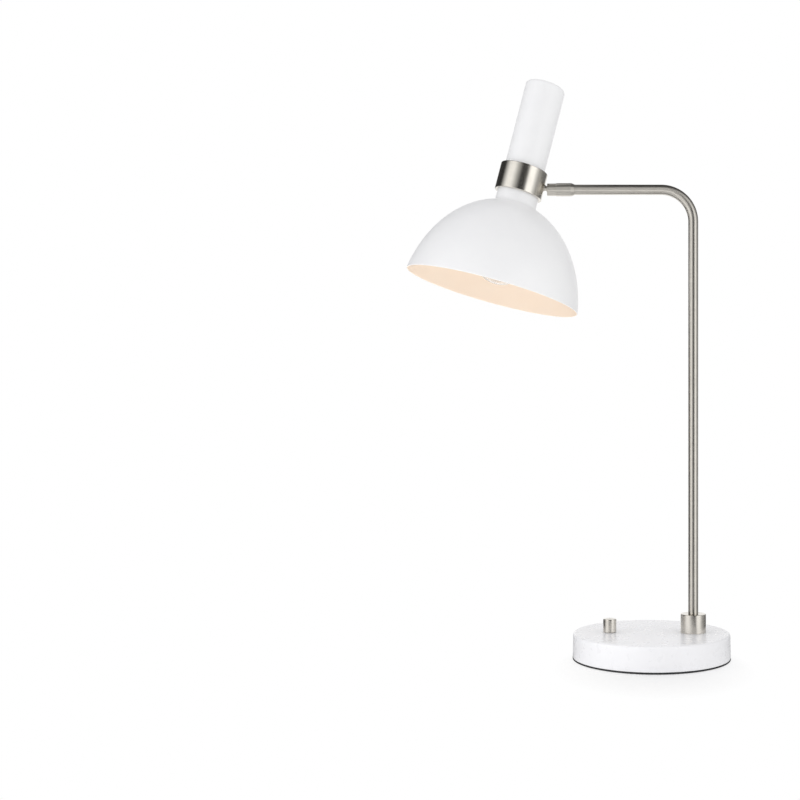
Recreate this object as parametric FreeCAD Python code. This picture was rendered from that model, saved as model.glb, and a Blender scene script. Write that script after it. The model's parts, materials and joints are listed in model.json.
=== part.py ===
import FreeCAD, Part
import math
import os

V = FreeCAD.Vector

# Desk lamp with a dome shade. Millimetres and degrees. The frame's origin is the middle of the base's
# underside, +Z is up, and the arm runs towards -X, so that pole, arm and head lie in the plane Y = 0.

# ---- Base: drawn steel cover over a cast weight, closed by a plate on a soft pad ----
base_radius = 78.6
base_draft = 0.4
base_height = 25.5
cover_wall = 1.2
cover_edge_round = 2.3
pad_overhang = 0.2
pad_thickness = 1.6
plate_thickness = 1.2
plate_gap = 0.3
weight_gap = 0.6
weight_web = 6.2
plate_screw_radius = 2.0
plate_screw_length = 10.0
plate_screw_circle = 67.0
plate_screw_count = 3

# ---- Wiring pocket and cord gland ----
pocket_gap = 1.0
gland_bore_radius = 3.2
gland_wall = 1.2
gland_flange_radius = 6.5
gland_flange_thickness = 2.0
gland_height = 13.0
gland_nut_flats = 12.0
gland_nut_thickness = 3.0
gland_thread_spare = 1.0

# ---- Terminal block ----
block_length = 30.0
block_width = 17.0
block_height = 12.0
block_from_centre = 38.0
block_pitch = 9.6
block_poles = 3
block_edge = 1.0
insert_radius = 2.5
insert_bore_radius = 1.5
insert_length = 13.0
clamp_screw_radius = 1.3
clamp_screw_spacing = 7.0
small_screw_radius = 1.5
small_head_radius = 2.8
small_head_height = 1.8
screw_bite = 4.5
screw_slot = 0.6
earth_from_centre = 12.0
tag_thickness = 0.8
tag_tail_length = 8.0
tag_tail_width = 4.0

# ---- Dimmer and knob ----
knob_from_centre = 41.6
knob_radius = 6.6
knob_height = 13.0
knob_lift = 0.4
knob_edge = 0.5
knob_crown = 3.0
dimmer_width = 27.0
dimmer_height = 13.5
dimmer_corner = 2.5
bush_radius = 3.5
bush_spare = 0.5
dimmer_nut_flats = 9.0
dimmer_nut_thickness = 2.0
shaft_radius = 2.0
shaft_depth = 9.0
shaft_flat = 0.5
lug_length = 4.0
lug_width = 2.4
lug_thickness = 0.6
lug_pitch = 6.0

# ---- Pole, arm and ferrule ----
pole_from_centre = 41.8
tube_radius = 5.0
tube_wall = 1.0
arm_height = 467.9
arm_reach = 142.1
arm_bend_radius = 32.0
ferrule_radius = 12.65
ferrule_height = 18.5
ferrule_edge = 0.5
ferrule_screw_radius = 2.0
pole_nut_flats = 17.0
pole_nut_thickness = 4.0
pole_washer_radius = 10.0
pole_washer_thickness = 1.5
thread_spare = 1.5
lead_radius = 1.3
lead_lift = 2.5
lead_outlet = 5.5
lead_crossing = 9.0
lead_aside = 3.0
pole_lead_bend = 9.0

# ---- Swivel at the arm's end; distances along the arm start at the ball's centre ----
ball_radius = 4.7
ball_flat = 3.9
stud_radius = 2.4
stud_bore_radius = 1.5
nose_reach = 3.9
nose_lip_reach = 2.2
nose_radius = 6.05
nose_mouth_radius = 5.1
nose_mouth_rim = 0.4
nose_length = 9.0
nose_thread_radius = 5.5
nose_thread_length = 3.9
sleeve_radius = 6.4
sleeve_length = 18.0
sleeve_taper = 2.8
seat_start = 1.5
seat_length = 4.9
spring_count = 3
spring_thickness = 0.5
spring_cone = 0.4
plug_head_length = 8.0
plug_spigot_length = 8.0
plug_bore_radius = 1.8
plug_groove_width = 2.4
plug_groove_depth = 0.9
sleeve_screw_radius = 1.25
sleeve_screw_tip = 1.0

# ---- Head; heights along its own axis start at the collar's middle ----
head_tilt = 14.5
stud_reach = 6.9
stud_shoulder_radius = 3.2
stud_shoulder_thickness = 0.8
stud_end_radius = 2.0
stud_nut_flats = 7.0
stud_nut_thickness = 1.5
stud_spare = 0.3
neck_radius = 20.0
neck_wall = 1.2
neck_top_wall = 1.5
neck_top_height = 97.9
neck_edge_round = 2.5
neck_screw_radius = 1.5
neck_screw_turn = 35.0
collar_wall = 3.9
collar_height = 26.3
collar_edge = 0.4
collar_upper_depth = 6.5
collar_web = 2.2
collar_web_radius = 13.2
collar_bore_radius = 18.2
holder_plate_thickness = 1.5
holder_screw_circle = 15.2
nipple_radius = 5.0
nipple_bore_radius = 3.5
nipple_depth = 7.0
nipple_nut_flats = 14.0
nipple_nut_thickness = 3.0

# ---- Lampholder and shade ----
holder_boss_radius = 8.0
holder_shell_radius = 15.4
holder_shoulder = 1.5
holder_flange_radius = 17.9
holder_flange_thickness = 1.6
holder_thread_radius = 16.6
holder_skirt_length = 24.4
holder_floor = 4.0
holder_top = 1.5
holder_lead_from_axis = 10.6
screw_shell_wall = 0.7
ring_wall = 2.7
ring_height = 6.0
shade_neck_step = 0.8
shade_engagement = 6.5
shade_wall = 1.0
shade_bulge_radius = 89.1
shade_crown = 114.0
shade_centre_drop = 135.6
shade_rim_rise = 22.3
shade_fillet = 4.5
shade_section_points = 12

# ---- Bulb ----
globe_radius = 30.0
globe_drop = 74.9
glass_wall = 0.8
glass_neck_radius = 13.0
glass_neck_length = 6.0
cap_thread_radius = 13.1
cap_thread_depth = 0.9
cap_thread_pitch = 3.6
cap_thread_turns = 5
cap_wall = 0.5
cap_skirt_length = 4.6
insulator_height = 1.8
tip_radius = 4.5
tip_height = 0.9
contact_radius = 4.5
contact_height = 1.1
stem_radius = 3.5
stem_length = 26.0
stem_flare_height = 3.0
filament_radius = 0.4
filament_spread = 9.0
filament_drop = 24.0

# ---- Clearances ----
running_gap = 0.05
fixed_gap = 0.05
thread_gap = 0.15
loose_gap = 0.3

# ---- Heights and places that follow from the sizes above ----
plate_top = pad_thickness + plate_thickness
cover_underside = base_height - cover_wall
pocket_roof = cover_underside - weight_web
cover_inner_radius = base_radius - base_draft - cover_wall
weight_radius = cover_inner_radius - weight_gap
pocket_width = max(block_length, dimmer_width) + 2 * pocket_gap
knob_x = -knob_from_centre
bush_top = base_height + dimmer_nut_thickness + bush_spare
knob_foot = base_height + knob_lift
knob_top = knob_foot + knob_height
shaft_top = knob_top - knob_crown
knob_screw_height = (bush_top + shaft_top) / 2 + small_screw_radius / 2
tube_bore_radius = tube_radius - tube_wall
pole_nut_top = pocket_roof - pole_washer_thickness
tube_foot = pole_nut_top - pole_nut_thickness - thread_spare
ball_x = pole_from_centre - arm_reach
gland_barrel_radius = gland_bore_radius + gland_wall

socket_radius = ball_radius + running_gap
nose_step = nose_length - nose_reach
seat_end = seat_start + seat_length
plug_front = seat_end + spring_count * (spring_thickness + spring_cone)
tube_end = plug_front + plug_head_length
groove_middle = plug_front + plug_head_length / 2

collar_radius = neck_radius + collar_wall
collar_top = collar_height / 2
ball_offset = collar_radius + stud_reach
plate_seat = collar_top - collar_upper_depth
web_underside = plate_seat - collar_web
plate_upper = plate_seat + holder_plate_thickness
shade_neck_radius = neck_radius + shade_neck_step
shade_neck_bore = shade_neck_radius + 2 * fixed_gap
shade_neck_top = -collar_top + shade_engagement
shade_lip_under = shade_neck_top - shade_wall
holder_mouth = shade_lip_under - holder_skirt_length
holder_floor_under = -holder_top - holder_floor
contact_under = holder_floor_under - contact_height
tip_under = contact_under - tip_height
insulator_under = tip_under - insulator_height
cap_thread_length = cap_thread_pitch * cap_thread_turns
cap_skirt_top = insulator_under - cap_thread_length
cap_end = cap_skirt_top - cap_skirt_length
cap_bore_radius = cap_thread_radius - cap_thread_depth - cap_wall
cap_skirt_radius = glass_neck_radius + fixed_gap + cap_wall
shell_radius = cap_thread_radius + thread_gap + screw_shell_wall
shell_cavity_radius = shell_radius + fixed_gap
nut_seat = collar_bore_radius + loose_gap


# ---- Helpers ----
def revolved(edges):
    """Solid turned about Z from the closed outline that the edges make in the XZ plane."""
    face = Part.Face(Part.Wire(edges))
    return face.revolve(V(0, 0, 0), V(0, 0, 1), 360)


def turned(start, *steps):
    """Turned solid from (radius, height) steps; a step of four numbers is an arc by a middle point."""
    edges = []
    here = V(start[0], 0, start[1])
    for step in steps + (start,):
        there = V(step[-2], 0, step[-1])
        if len(step) == 4:
            edges.append(Part.Arc(here, V(step[0], 0, step[1]), there).toShape())
        else:
            edges.append(Part.LineSegment(here, there).toShape())
        here = there
    return revolved(edges)


def corner_arc(centre_r, centre_z, radius, turn_from, turn_to):
    """Arc step of an outline: its middle and end, from the centre and the angles in degrees."""
    middle = math.radians((turn_from + turn_to) / 2)
    end = math.radians(turn_to)
    return (centre_r + radius * math.cos(middle), centre_z + radius * math.sin(middle),
            centre_r + radius * math.cos(end), centre_z + radius * math.sin(end))


def disc(radius, low, high):
    return Part.makeCylinder(radius, high - low, V(0, 0, low))


def ring(outer, inner, low, high):
    return disc(outer, low, high).cut(disc(inner, low, high))


def hexagon(flats, low, high, bore):
    """Hexagon nut with a plain bore."""
    corner = flats / math.sqrt(3)
    points = [V(corner * math.cos(math.radians(60 * k)), corner * math.sin(math.radians(60 * k)), low)
              for k in range(7)]
    prism = Part.Face(Part.makePolygon(points)).extrude(V(0, 0, high - low))
    return prism.cut(disc(bore, low, high))


def box(low, high):
    return Part.makeBox(high[0] - low[0], high[1] - low[1], high[2] - low[2], V(*low))


def moved(shape, x=0.0, y=0.0, z=0.0):
    copy = shape.copy()
    copy.translate(V(x, y, z))
    return copy


def turned_about(shape, axis, angle):
    copy = shape.copy()
    copy.rotate(V(0, 0, 0), axis, angle)
    return copy


def facing_rear(shape):
    """Lays a piece that was turned about Z along +Y."""
    return turned_about(shape, V(1, 0, 0), -90)


def on_arm(shape):
    """Lays a piece that was turned about Z on the arm's axis, its zero at the ball's centre."""
    return moved(turned_about(shape, V(0, 1, 0), 90), ball_x, 0, arm_height)


def in_head(shape):
    """Puts a piece from the head's own frame at the ball and tilts it."""
    at_ball = moved(shape, -ball_offset)
    return moved(turned_about(at_ball, V(0, 1, 0), head_tilt), ball_x, 0, arm_height)


def bent_path(points, radii):
    """Wire of straight runs joined by tangent arcs of the radii given, one at each inner point."""
    edges = []
    start = points[0]
    for before, corner, after, radius in zip(points, points[1:], points[2:], radii):
        back = (before - corner).normalize()
        ahead = (after - corner).normalize()
        half_turn = (math.pi - back.getAngle(ahead)) / 2
        setback = radius * math.tan(half_turn)
        bisector = (back + ahead).normalize()
        centre = corner + bisector * (radius / math.cos(half_turn))
        entry = corner + back * setback
        leave = corner + ahead * setback
        edges.append(Part.LineSegment(start, entry).toShape())
        edges.append(Part.Arc(entry, centre - bisector * radius, leave).toShape())
        start = leave
    edges.append(Part.LineSegment(start, points[-1]).toShape())
    return Part.Wire(edges)


def pipe(path, radius):
    """Solid round bar of the radius along the path."""
    first = path.Edges[0]
    start = first.FirstParameter
    section = Part.makeCircle(radius, first.valueAt(start), first.tangentAt(start))
    return path.makePipeShell([Part.Wire([section])], True, False)


def widest_radii(points):
    """Bend radii of a lead: 0.45 of the shorter run beside each point, over the half turn's tangent."""
    radii = []
    for before, corner, after in zip(points, points[1:], points[2:]):
        half_turn = (math.pi - (before - corner).getAngle(after - corner)) / 2
        shorter = min((before - corner).Length, (after - corner).Length)
        radii.append(0.45 * shorter / math.tan(half_turn))
    return radii


def grub_screw(radius, inner, outer):
    """Headless screw that stands along +Y between two distances from an axis, slotted outside."""
    screw = disc(radius, inner, outer)
    slot = box((-radius, -screw_slot / 2, outer - screw_slot), (radius, screw_slot / 2, outer))
    return facing_rear(screw.cut(slot))


def save(node, shape):
    shape.exportStep("parts/" + node + ".step")


# ---- Base ----
def screw_circle():
    """Places of the closing plate's screws."""
    places = []
    for k in range(plate_screw_count):
        turn = math.radians(90 + 360 / plate_screw_count * (k + 0.5))
        places.append((plate_screw_circle * math.cos(turn), plate_screw_circle * math.sin(turn)))
    return places


def countersink(radius):
    """Countersunk screw form under the plate: head cone down to the pad, shank up into the weight."""
    return turned((0, pad_thickness), (radius + plate_thickness, pad_thickness), (radius, plate_top),
                  (radius, pad_thickness + plate_screw_length), (0, pad_thickness + plate_screw_length))


def base_pad():
    return disc(base_radius + pad_overhang, 0, pad_thickness)


def base_plate():
    plate = disc(cover_inner_radius - plate_gap, pad_thickness, plate_top)
    for x, y in screw_circle():
        plate = plate.cut(moved(countersink(plate_screw_radius + fixed_gap), x, y))
    return plate


def plate_screws():
    slot = box((-plate_screw_radius, -screw_slot / 2, pad_thickness),
               (plate_screw_radius, screw_slot / 2, pad_thickness + screw_slot))
    screw = countersink(plate_screw_radius).cut(slot)
    return Part.makeCompound([moved(screw, x, y) for x, y in screw_circle()])


def base_weight():
    """Cast disc with a wiring pocket from below: one arm to dimmer and pole, one to the rear gland."""
    edge = max(cover_edge_round - cover_wall, 0) + weight_gap
    weight = turned((0, plate_top), (weight_radius, plate_top), (weight_radius, cover_underside - edge),
                    (weight_radius - edge, cover_underside), (0, cover_underside))
    half = pocket_width / 2
    dimmer_reach = knob_from_centre + dimmer_width / 2 + pocket_gap
    pole_reach = pole_from_centre + pole_washer_radius + 2 * pocket_gap
    weight = weight.cut(box((-dimmer_reach, -half, plate_top), (pole_reach, half, pocket_roof)))
    weight = weight.cut(box((-half, 0, plate_top), (half, base_radius, pocket_roof)))
    well = dimmer_width / 2 + pocket_gap
    weight = weight.cut(box((knob_x - well, -well, plate_top), (knob_x + well, well, base_height)))
    weight = weight.cut(moved(disc(tube_radius + fixed_gap, 0, base_height), pole_from_centre))
    nut_room = facing_rear(disc(gland_nut_flats / math.sqrt(3) + loose_gap, gland_inner_end(), base_radius))
    weight = weight.cut(moved(nut_room, 0, 0, gland_height))
    for x, y in screw_circle():
        weight = weight.cut(moved(countersink(plate_screw_radius + fixed_gap), x, y))
    for x, y in ((block_pitch / 2, block_from_centre), (0, earth_from_centre)):
        hole = disc(small_screw_radius + fixed_gap, plate_top, pocket_roof + screw_bite + fixed_gap)
        weight = weight.cut(moved(hole, x, y))
    return weight


def base_cover():
    top_radius = base_radius - base_draft
    shoulder = top_radius - cover_edge_round
    inner_round = max(cover_edge_round - cover_wall, cover_wall / 2)
    inner_shoulder = cover_inner_radius - inner_round
    cover = turned(
        (base_radius - cover_wall, pad_thickness), (base_radius, pad_thickness),
        (top_radius, base_height - cover_edge_round),
        corner_arc(shoulder, base_height - cover_edge_round, cover_edge_round, 0, 90),
        (0, base_height), (0, cover_underside), (inner_shoulder, cover_underside),
        corner_arc(inner_shoulder, cover_underside - inner_round, inner_round, 90, 0))
    cover = cover.cut(moved(disc(tube_radius + fixed_gap, pad_thickness, base_height), pole_from_centre))
    cover = cover.cut(moved(disc(bush_radius + fixed_gap, pad_thickness, base_height), knob_x))
    gland_hole = facing_rear(disc(gland_barrel_radius + fixed_gap, 0, base_radius))
    return cover.cut(moved(gland_hole, 0, 0, gland_height))


def gland_nut_face():
    """How far back the nut's corners can lie inside the round wall."""
    corner = gland_nut_flats / math.sqrt(3)
    return math.sqrt(cover_inner_radius ** 2 - corner ** 2) - fixed_gap


def gland_inner_end():
    return gland_nut_face() - gland_nut_thickness - gland_thread_spare


def cord_gland():
    """Flanged bush through the rear wall, rounded at the mouth that the supply cord goes in by."""
    inner_end = gland_inner_end()
    outer_end = base_radius + gland_flange_thickness
    mouth = gland_flange_thickness / 2
    gland = turned(
        (gland_bore_radius, inner_end), (gland_barrel_radius, inner_end), (gland_barrel_radius, base_radius),
        (gland_flange_radius, base_radius), (gland_flange_radius, outer_end - mouth),
        corner_arc(gland_flange_radius - mouth, outer_end - mouth, mouth, 0, 90),
        (gland_bore_radius + mouth, outer_end),
        corner_arc(gland_bore_radius + mouth, outer_end - mouth, mouth, 90, 180))
    return moved(facing_rear(gland), 0, 0, gland_height)


def gland_nut():
    face = gland_nut_face()
    nut = hexagon(gland_nut_flats, face - gland_nut_thickness, face, gland_barrel_radius + fixed_gap)
    return moved(facing_rear(nut), 0, 0, gland_height)


# ---- Terminal block ----
def pole_places():
    """Places of the block's poles across it."""
    return [block_pitch * (k - (block_poles - 1) / 2) for k in range(block_poles)]


def clamp_places():
    offset = clamp_screw_spacing / 2
    return [(x, block_from_centre + side * offset) for x in pole_places() for side in (-1, 1)]


def insert_height():
    return pocket_roof - block_height / 2


def along_block(radius, length):
    """Bar through the block along Y at the height of its inserts."""
    bar = facing_rear(disc(radius, -length / 2, length / 2))
    return moved(bar, 0, block_from_centre, insert_height())


def terminal_block():
    block = box((-block_length / 2, block_from_centre - block_width / 2, pocket_roof - block_height),
                (block_length / 2, block_from_centre + block_width / 2, pocket_roof))
    block = block.makeFillet(block_edge, [edge for edge in block.Edges if edge.BoundBox.ZLength > block_edge])
    for x in pole_places():
        block = block.cut(moved(along_block(insert_radius + fixed_gap, block_width), x))
    for x, y in clamp_places():
        well = disc(clamp_screw_radius + loose_gap, pocket_roof - block_height, insert_height())
        block = block.cut(moved(well, x, y))
    between = block_pitch / 2
    hole = disc(small_screw_radius + fixed_gap, 0, pocket_roof)
    sink = disc(small_head_radius + loose_gap, 0, block_screw_face())
    return block.cut(moved(hole, between, block_from_centre)).cut(moved(sink, between, block_from_centre))


def block_screw_face():
    """Height at which the block's own screw head bears, in the groove between two poles."""
    return pocket_roof - block_height + small_head_height + screw_slot


def terminal_inserts():
    inserts = []
    for x in pole_places():
        insert = along_block(insert_radius, insert_length).cut(along_block(insert_bore_radius, insert_length))
        insert = moved(insert, x)
        for place in clamp_places():
            hole = disc(clamp_screw_radius + fixed_gap, 0, insert_height())
            insert = insert.cut(moved(hole, place[0], place[1]))
        inserts.append(insert)
    return Part.makeCompound(inserts)


def terminal_screws():
    foot = pocket_roof - block_height + screw_slot
    screw = disc(clamp_screw_radius, foot, insert_height() - insert_bore_radius)
    slot = box((-clamp_screw_radius, -screw_slot / 2, foot),
               (clamp_screw_radius, screw_slot / 2, foot + screw_slot))
    return Part.makeCompound([moved(screw.cut(slot), x, y) for x, y in clamp_places()])


def small_screw(bite):
    """Small pan-head screw along +Z, its head's bearing face at zero."""
    screw = disc(small_head_radius, -small_head_height, 0).fuse(disc(small_screw_radius, 0, bite))
    slot = box((-small_head_radius, -screw_slot / 2, -small_head_height),
               (small_head_radius, screw_slot / 2, screw_slot - small_head_height))
    return screw.cut(slot)


def block_screw():
    bite = pocket_roof - block_screw_face() + screw_bite
    return moved(small_screw(bite), block_pitch / 2, block_from_centre, block_screw_face())


def earth_tag():
    """Ring tag under the earth screw, with the tail that the earth lead is crimped to."""
    under = pocket_roof - tag_thickness
    tail = box((-tag_tail_width / 2, earth_from_centre, under),
               (tag_tail_width / 2, earth_from_centre + tag_tail_length, pocket_roof))
    tag = moved(disc(small_head_radius + loose_gap, under, pocket_roof), 0, earth_from_centre).fuse(tail)
    return tag.cut(moved(disc(small_screw_radius + fixed_gap, under, pocket_roof), 0, earth_from_centre))


def earth_screw():
    return moved(small_screw(tag_thickness + screw_bite), 0, earth_from_centre, pocket_roof - tag_thickness)


# ---- Dimmer and knob ----
def dimmer_body():
    half = dimmer_width / 2
    low = cover_underside - dimmer_height
    body = box((knob_x - half, -half, low), (knob_x + half, half, cover_underside))
    corners = [edge for edge in body.Edges if edge.BoundBox.ZLength > dimmer_height / 2]
    body = body.makeFillet(dimmer_corner, corners)
    bore = disc(shaft_radius + running_gap, cover_underside - shaft_depth, cover_underside)
    return body.cut(moved(bore, knob_x))


def dimmer_lugs():
    side = knob_x + dimmer_width / 2
    lugs = []
    for k in (-1, 0, 1):
        middle = k * lug_pitch
        lugs.append(box((side, middle - lug_width / 2, insert_height() - lug_thickness / 2),
                        (side + lug_length, middle + lug_width / 2, insert_height() + lug_thickness / 2)))
    return Part.makeCompound(lugs)


def dimmer_bush():
    return moved(ring(bush_radius, shaft_radius + running_gap, cover_underside, bush_top), knob_x)


def dimmer_nut():
    nut = hexagon(dimmer_nut_flats, base_height, base_height + dimmer_nut_thickness, bush_radius + fixed_gap)
    return moved(nut, knob_x)


def dimmer_shaft():
    """Round shaft with a flat on its upper end for the knob's grub screw."""
    shaft = disc(shaft_radius, cover_underside - shaft_depth + loose_gap, shaft_top)
    flat = box((-shaft_radius, shaft_radius - shaft_flat, bush_top + bush_spare),
               (shaft_radius, shaft_radius, shaft_top))
    return moved(shaft.cut(flat), knob_x)


def dimmer_knob():
    """Plain turned knob, hollow underneath so that it covers the dimmer's nut."""
    knob = turned((0, knob_foot), (knob_radius - knob_edge, knob_foot), (knob_radius, knob_foot + knob_edge),
                  (knob_radius, knob_top - knob_edge), (knob_radius - knob_edge, knob_top), (0, knob_top))
    knob = knob.cut(disc(dimmer_nut_flats / math.sqrt(3) + loose_gap, knob_foot, bush_top + loose_gap))
    knob = knob.cut(disc(shaft_radius + fixed_gap, knob_foot, shaft_top + fixed_gap))
    hole = facing_rear(disc(small_screw_radius + fixed_gap, 0, knob_radius))
    return moved(knob.cut(moved(hole, 0, 0, knob_screw_height)), knob_x)


def knob_grub_screw():
    screw = grub_screw(small_screw_radius, shaft_radius - shaft_flat + fixed_gap, knob_radius - knob_edge)
    return moved(screw, knob_x, 0, knob_screw_height)


# ---- Pole, arm and ferrule ----
def pole_ferrule():
    """Turned ring screwed down the tube's thread onto the cover, locked by a grub screw at the rear."""
    low = base_height
    high = base_height + ferrule_height
    ferrule = turned((tube_radius + fixed_gap, low), (ferrule_radius - ferrule_edge, low),
                     (ferrule_radius, low + ferrule_edge), (ferrule_radius, high - ferrule_edge),
                     (ferrule_radius - ferrule_edge, high), (tube_radius + fixed_gap, high))
    hole = facing_rear(disc(ferrule_screw_radius + fixed_gap, 0, ferrule_radius))
    return moved(ferrule.cut(moved(hole, 0, 0, base_height + ferrule_height / 2)), pole_from_centre)


def ferrule_grub_screw():
    screw = grub_screw(ferrule_screw_radius, tube_radius + fixed_gap, ferrule_radius - 2 * ferrule_edge)
    return moved(screw, pole_from_centre, 0, base_height + ferrule_height / 2)


def pole_washer():
    washer = ring(pole_washer_radius, tube_radius + fixed_gap, pole_nut_top, pocket_roof)
    return moved(washer, pole_from_centre)


def pole_nut():
    nut = hexagon(pole_nut_flats, pole_nut_top - pole_nut_thickness, pole_nut_top, tube_radius + fixed_gap)
    return moved(nut, pole_from_centre)


def arm_tube():
    """One tube, bent once: the pole rises from the base and turns over into the arm."""
    path = bent_path([V(pole_from_centre, 0, tube_foot), V(pole_from_centre, 0, arm_height),
                      V(ball_x + tube_end, 0, arm_height)], [arm_bend_radius])
    tube = pipe(path, tube_radius).cut(pipe(path, tube_bore_radius))
    section = math.pi * (tube_radius ** 2 - tube_bore_radius ** 2)
    print("arm tube: volume over section times length", round(tube.Volume / (section * path.Length), 4))
    return tube


def arm_plug():
    """Turned plug fixed in the tube's end; its groove takes the sleeve's grub screw."""
    head = tube_radius - fixed_gap
    spigot = tube_bore_radius - fixed_gap
    groove_low = groove_middle - plug_groove_width / 2
    groove_high = groove_middle + plug_groove_width / 2
    return on_arm(turned(
        (plug_bore_radius, plug_front), (head, plug_front), (head, groove_low),
        (head - plug_groove_depth, groove_low), (head - plug_groove_depth, groove_high), (head, groove_high),
        (head, tube_end), (spigot, tube_end), (spigot, tube_end + plug_spigot_length),
        (plug_bore_radius, tube_end + plug_spigot_length)))


# ---- Swivel ----
def swivel_sleeve():
    """Sleeve that turns on the arm's end; its front is threaded for the nose, its rear tapers to the tube."""
    bore = tube_radius + running_gap
    end = nose_step + sleeve_length
    thread_end = nose_step + nose_thread_length + fixed_gap
    sleeve = turned(
        (nose_thread_radius + fixed_gap, nose_step), (sleeve_radius, nose_step),
        (sleeve_radius, end - sleeve_taper), (bore + loose_gap, end), (bore, end),
        (bore, thread_end), (nose_thread_radius + fixed_gap, thread_end))
    hole = moved(facing_rear(disc(sleeve_screw_radius + fixed_gap, 0, sleeve_radius)),
                 ball_x + groove_middle, 0, arm_height)
    return on_arm(sleeve).cut(hole)


def sleeve_grub_screw():
    """Dog-point screw: its tip runs in the plug's groove and keeps the sleeve on the arm."""
    shoulder = tube_radius + running_gap
    groove_floor = tube_radius - fixed_gap - plug_groove_depth
    screw = grub_screw(sleeve_screw_radius, shoulder, sleeve_radius - fixed_gap)
    tip = facing_rear(disc(sleeve_screw_tip, groove_floor + running_gap, shoulder))
    return moved(screw.fuse(tip), ball_x + groove_middle, 0, arm_height)


def swivel_nose():
    """Threaded nose with a spherical seat for the ball and a flared mouth that lets the stud tilt."""
    lip_turn = -math.degrees(math.asin(nose_lip_reach / socket_radius))
    lip_radius = socket_radius * math.cos(math.radians(lip_turn))
    rim = nose_mouth_radius + nose_mouth_rim
    end = nose_step + nose_thread_length
    return on_arm(turned(
        (lip_radius, -nose_lip_reach), corner_arc(0, 0, socket_radius, lip_turn, 0),
        (socket_radius, end), (nose_thread_radius, end), (nose_thread_radius, nose_step),
        (nose_radius, nose_step), (nose_radius, -nose_reach + (nose_radius - rim)),
        (rim, -nose_reach), (nose_mouth_radius, -nose_reach)))


def ball_seat():
    """Plastic cup that presses on the back of the ball."""
    start_turn = math.degrees(math.asin(seat_start / socket_radius))
    end_turn = math.degrees(math.acos(plug_bore_radius / socket_radius))
    return on_arm(turned(
        (socket_radius * math.cos(math.radians(start_turn)), seat_start),
        corner_arc(0, 0, socket_radius, start_turn, end_turn), (plug_bore_radius, seat_end),
        (ball_radius, seat_end), (ball_radius, seat_start)))


def disc_springs():
    """Coned washers, stacked face to face, between the seat and the plug."""
    outer = ball_radius - running_gap
    pitch = spring_thickness + spring_cone
    springs = []
    for k in range(spring_count):
        inner_lift = spring_cone * (k % 2)
        outer_lift = spring_cone - inner_lift
        low = seat_end + k * pitch + fixed_gap / 2
        thick = spring_thickness - fixed_gap
        springs.append(on_arm(turned((plug_bore_radius, low + inner_lift), (outer, low + outer_lift),
                                     (outer, low + outer_lift + thick),
                                     (plug_bore_radius, low + inner_lift + thick))))
    return Part.makeCompound(springs)


def shoulder_seat():
    """Distance from the head's axis to the flat spot on the collar that the stud's shoulder bears on."""
    return math.sqrt(collar_radius ** 2 - (stud_shoulder_radius + fixed_gap) ** 2)


def across_head(shape):
    """Lays a piece that was turned about Z along the stud, its zero at the ball, in the head's own frame."""
    return moved(turned_about(shape, V(0, 1, 0), -90), ball_offset)


def stud_end():
    """Length from the ball's centre to the stud's inner end."""
    return ball_offset - nut_seat + stud_nut_thickness + stud_spare


def ball_stud():
    """Ball and stud in one, bored for the lead, with a shoulder outside the collar and a thread inside."""
    shoulder = ball_offset - shoulder_seat() - running_gap
    ball = Part.makeSphere(ball_radius).cut(disc(ball_radius, -2 * ball_radius, -ball_flat))
    stud = ball.fuse(disc(stud_radius, 0, shoulder))
    stud = stud.fuse(disc(stud_shoulder_radius, shoulder - stud_shoulder_thickness, shoulder))
    stud = stud.fuse(disc(stud_end_radius, 0, stud_end()))
    return in_head(across_head(stud.cut(disc(stud_bore_radius, -ball_radius, stud_end()))))


def stud_nut():
    inner = ball_offset - nut_seat + running_gap
    nut = hexagon(stud_nut_flats, inner, inner + stud_nut_thickness, stud_end_radius + fixed_gap)
    return in_head(across_head(nut))


# ---- Head ----
def neck_screw_places():
    return [(side * neck_screw_turn, (plate_upper + collar_top) / 2) for side in (-1, 1)]


def holder_screw_places():
    return [(0, side * holder_screw_circle) for side in (-1, 1)]


def collar():
    """Turned ring that everything in the head hangs from: a web inside carries the holder plate."""
    outer = collar_radius - collar_edge
    neck_bore = neck_radius + fixed_gap
    body = turned(
        (neck_bore, collar_top), (outer, collar_top), (collar_radius, collar_top - collar_edge),
        (collar_radius, collar_edge - collar_top), (outer, -collar_top), (shade_neck_bore, -collar_top),
        (shade_neck_bore, shade_neck_top + fixed_gap), (collar_bore_radius, shade_neck_top + fixed_gap),
        (collar_bore_radius, web_underside), (collar_web_radius, web_underside),
        (collar_web_radius, plate_seat), (neck_bore, plate_seat))
    stud_line = ball_offset
    cuts = [disc(stud_end_radius + running_gap, 0, stud_line),
            disc(stud_shoulder_radius + fixed_gap, 0, stud_line - shoulder_seat()),
            disc(stud_nut_flats / math.sqrt(3) + running_gap, stud_line - nut_seat, stud_line)]
    for cut in cuts:
        body = body.cut(across_head(cut))
    for turn, height in neck_screw_places():
        hole = facing_rear(disc(neck_screw_radius + fixed_gap, 0, collar_radius))
        body = body.cut(moved(turned_about(hole, V(0, 0, 1), turn), 0, 0, height))
    for x, y in holder_screw_places():
        body = body.cut(moved(disc(small_screw_radius + fixed_gap, web_underside, plate_seat), x, y))
    return in_head(body)


def neck_tube():
    """Closed-topped tube that stands in the collar."""
    foot = plate_upper + fixed_gap
    shoulder = neck_radius - neck_edge_round
    inner_radius = neck_radius - neck_wall
    inner_top = neck_top_height - neck_top_wall
    inner_round = max(neck_edge_round - neck_wall, neck_wall / 2)
    return in_head(turned(
        (inner_radius, foot), (neck_radius, foot), (neck_radius, neck_top_height - neck_edge_round),
        corner_arc(shoulder, neck_top_height - neck_edge_round, neck_edge_round, 0, 90),
        (0, neck_top_height), (0, inner_top), (inner_radius - inner_round, inner_top),
        corner_arc(inner_radius - inner_round, inner_top - inner_round, inner_round, 90, 0)))


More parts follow.
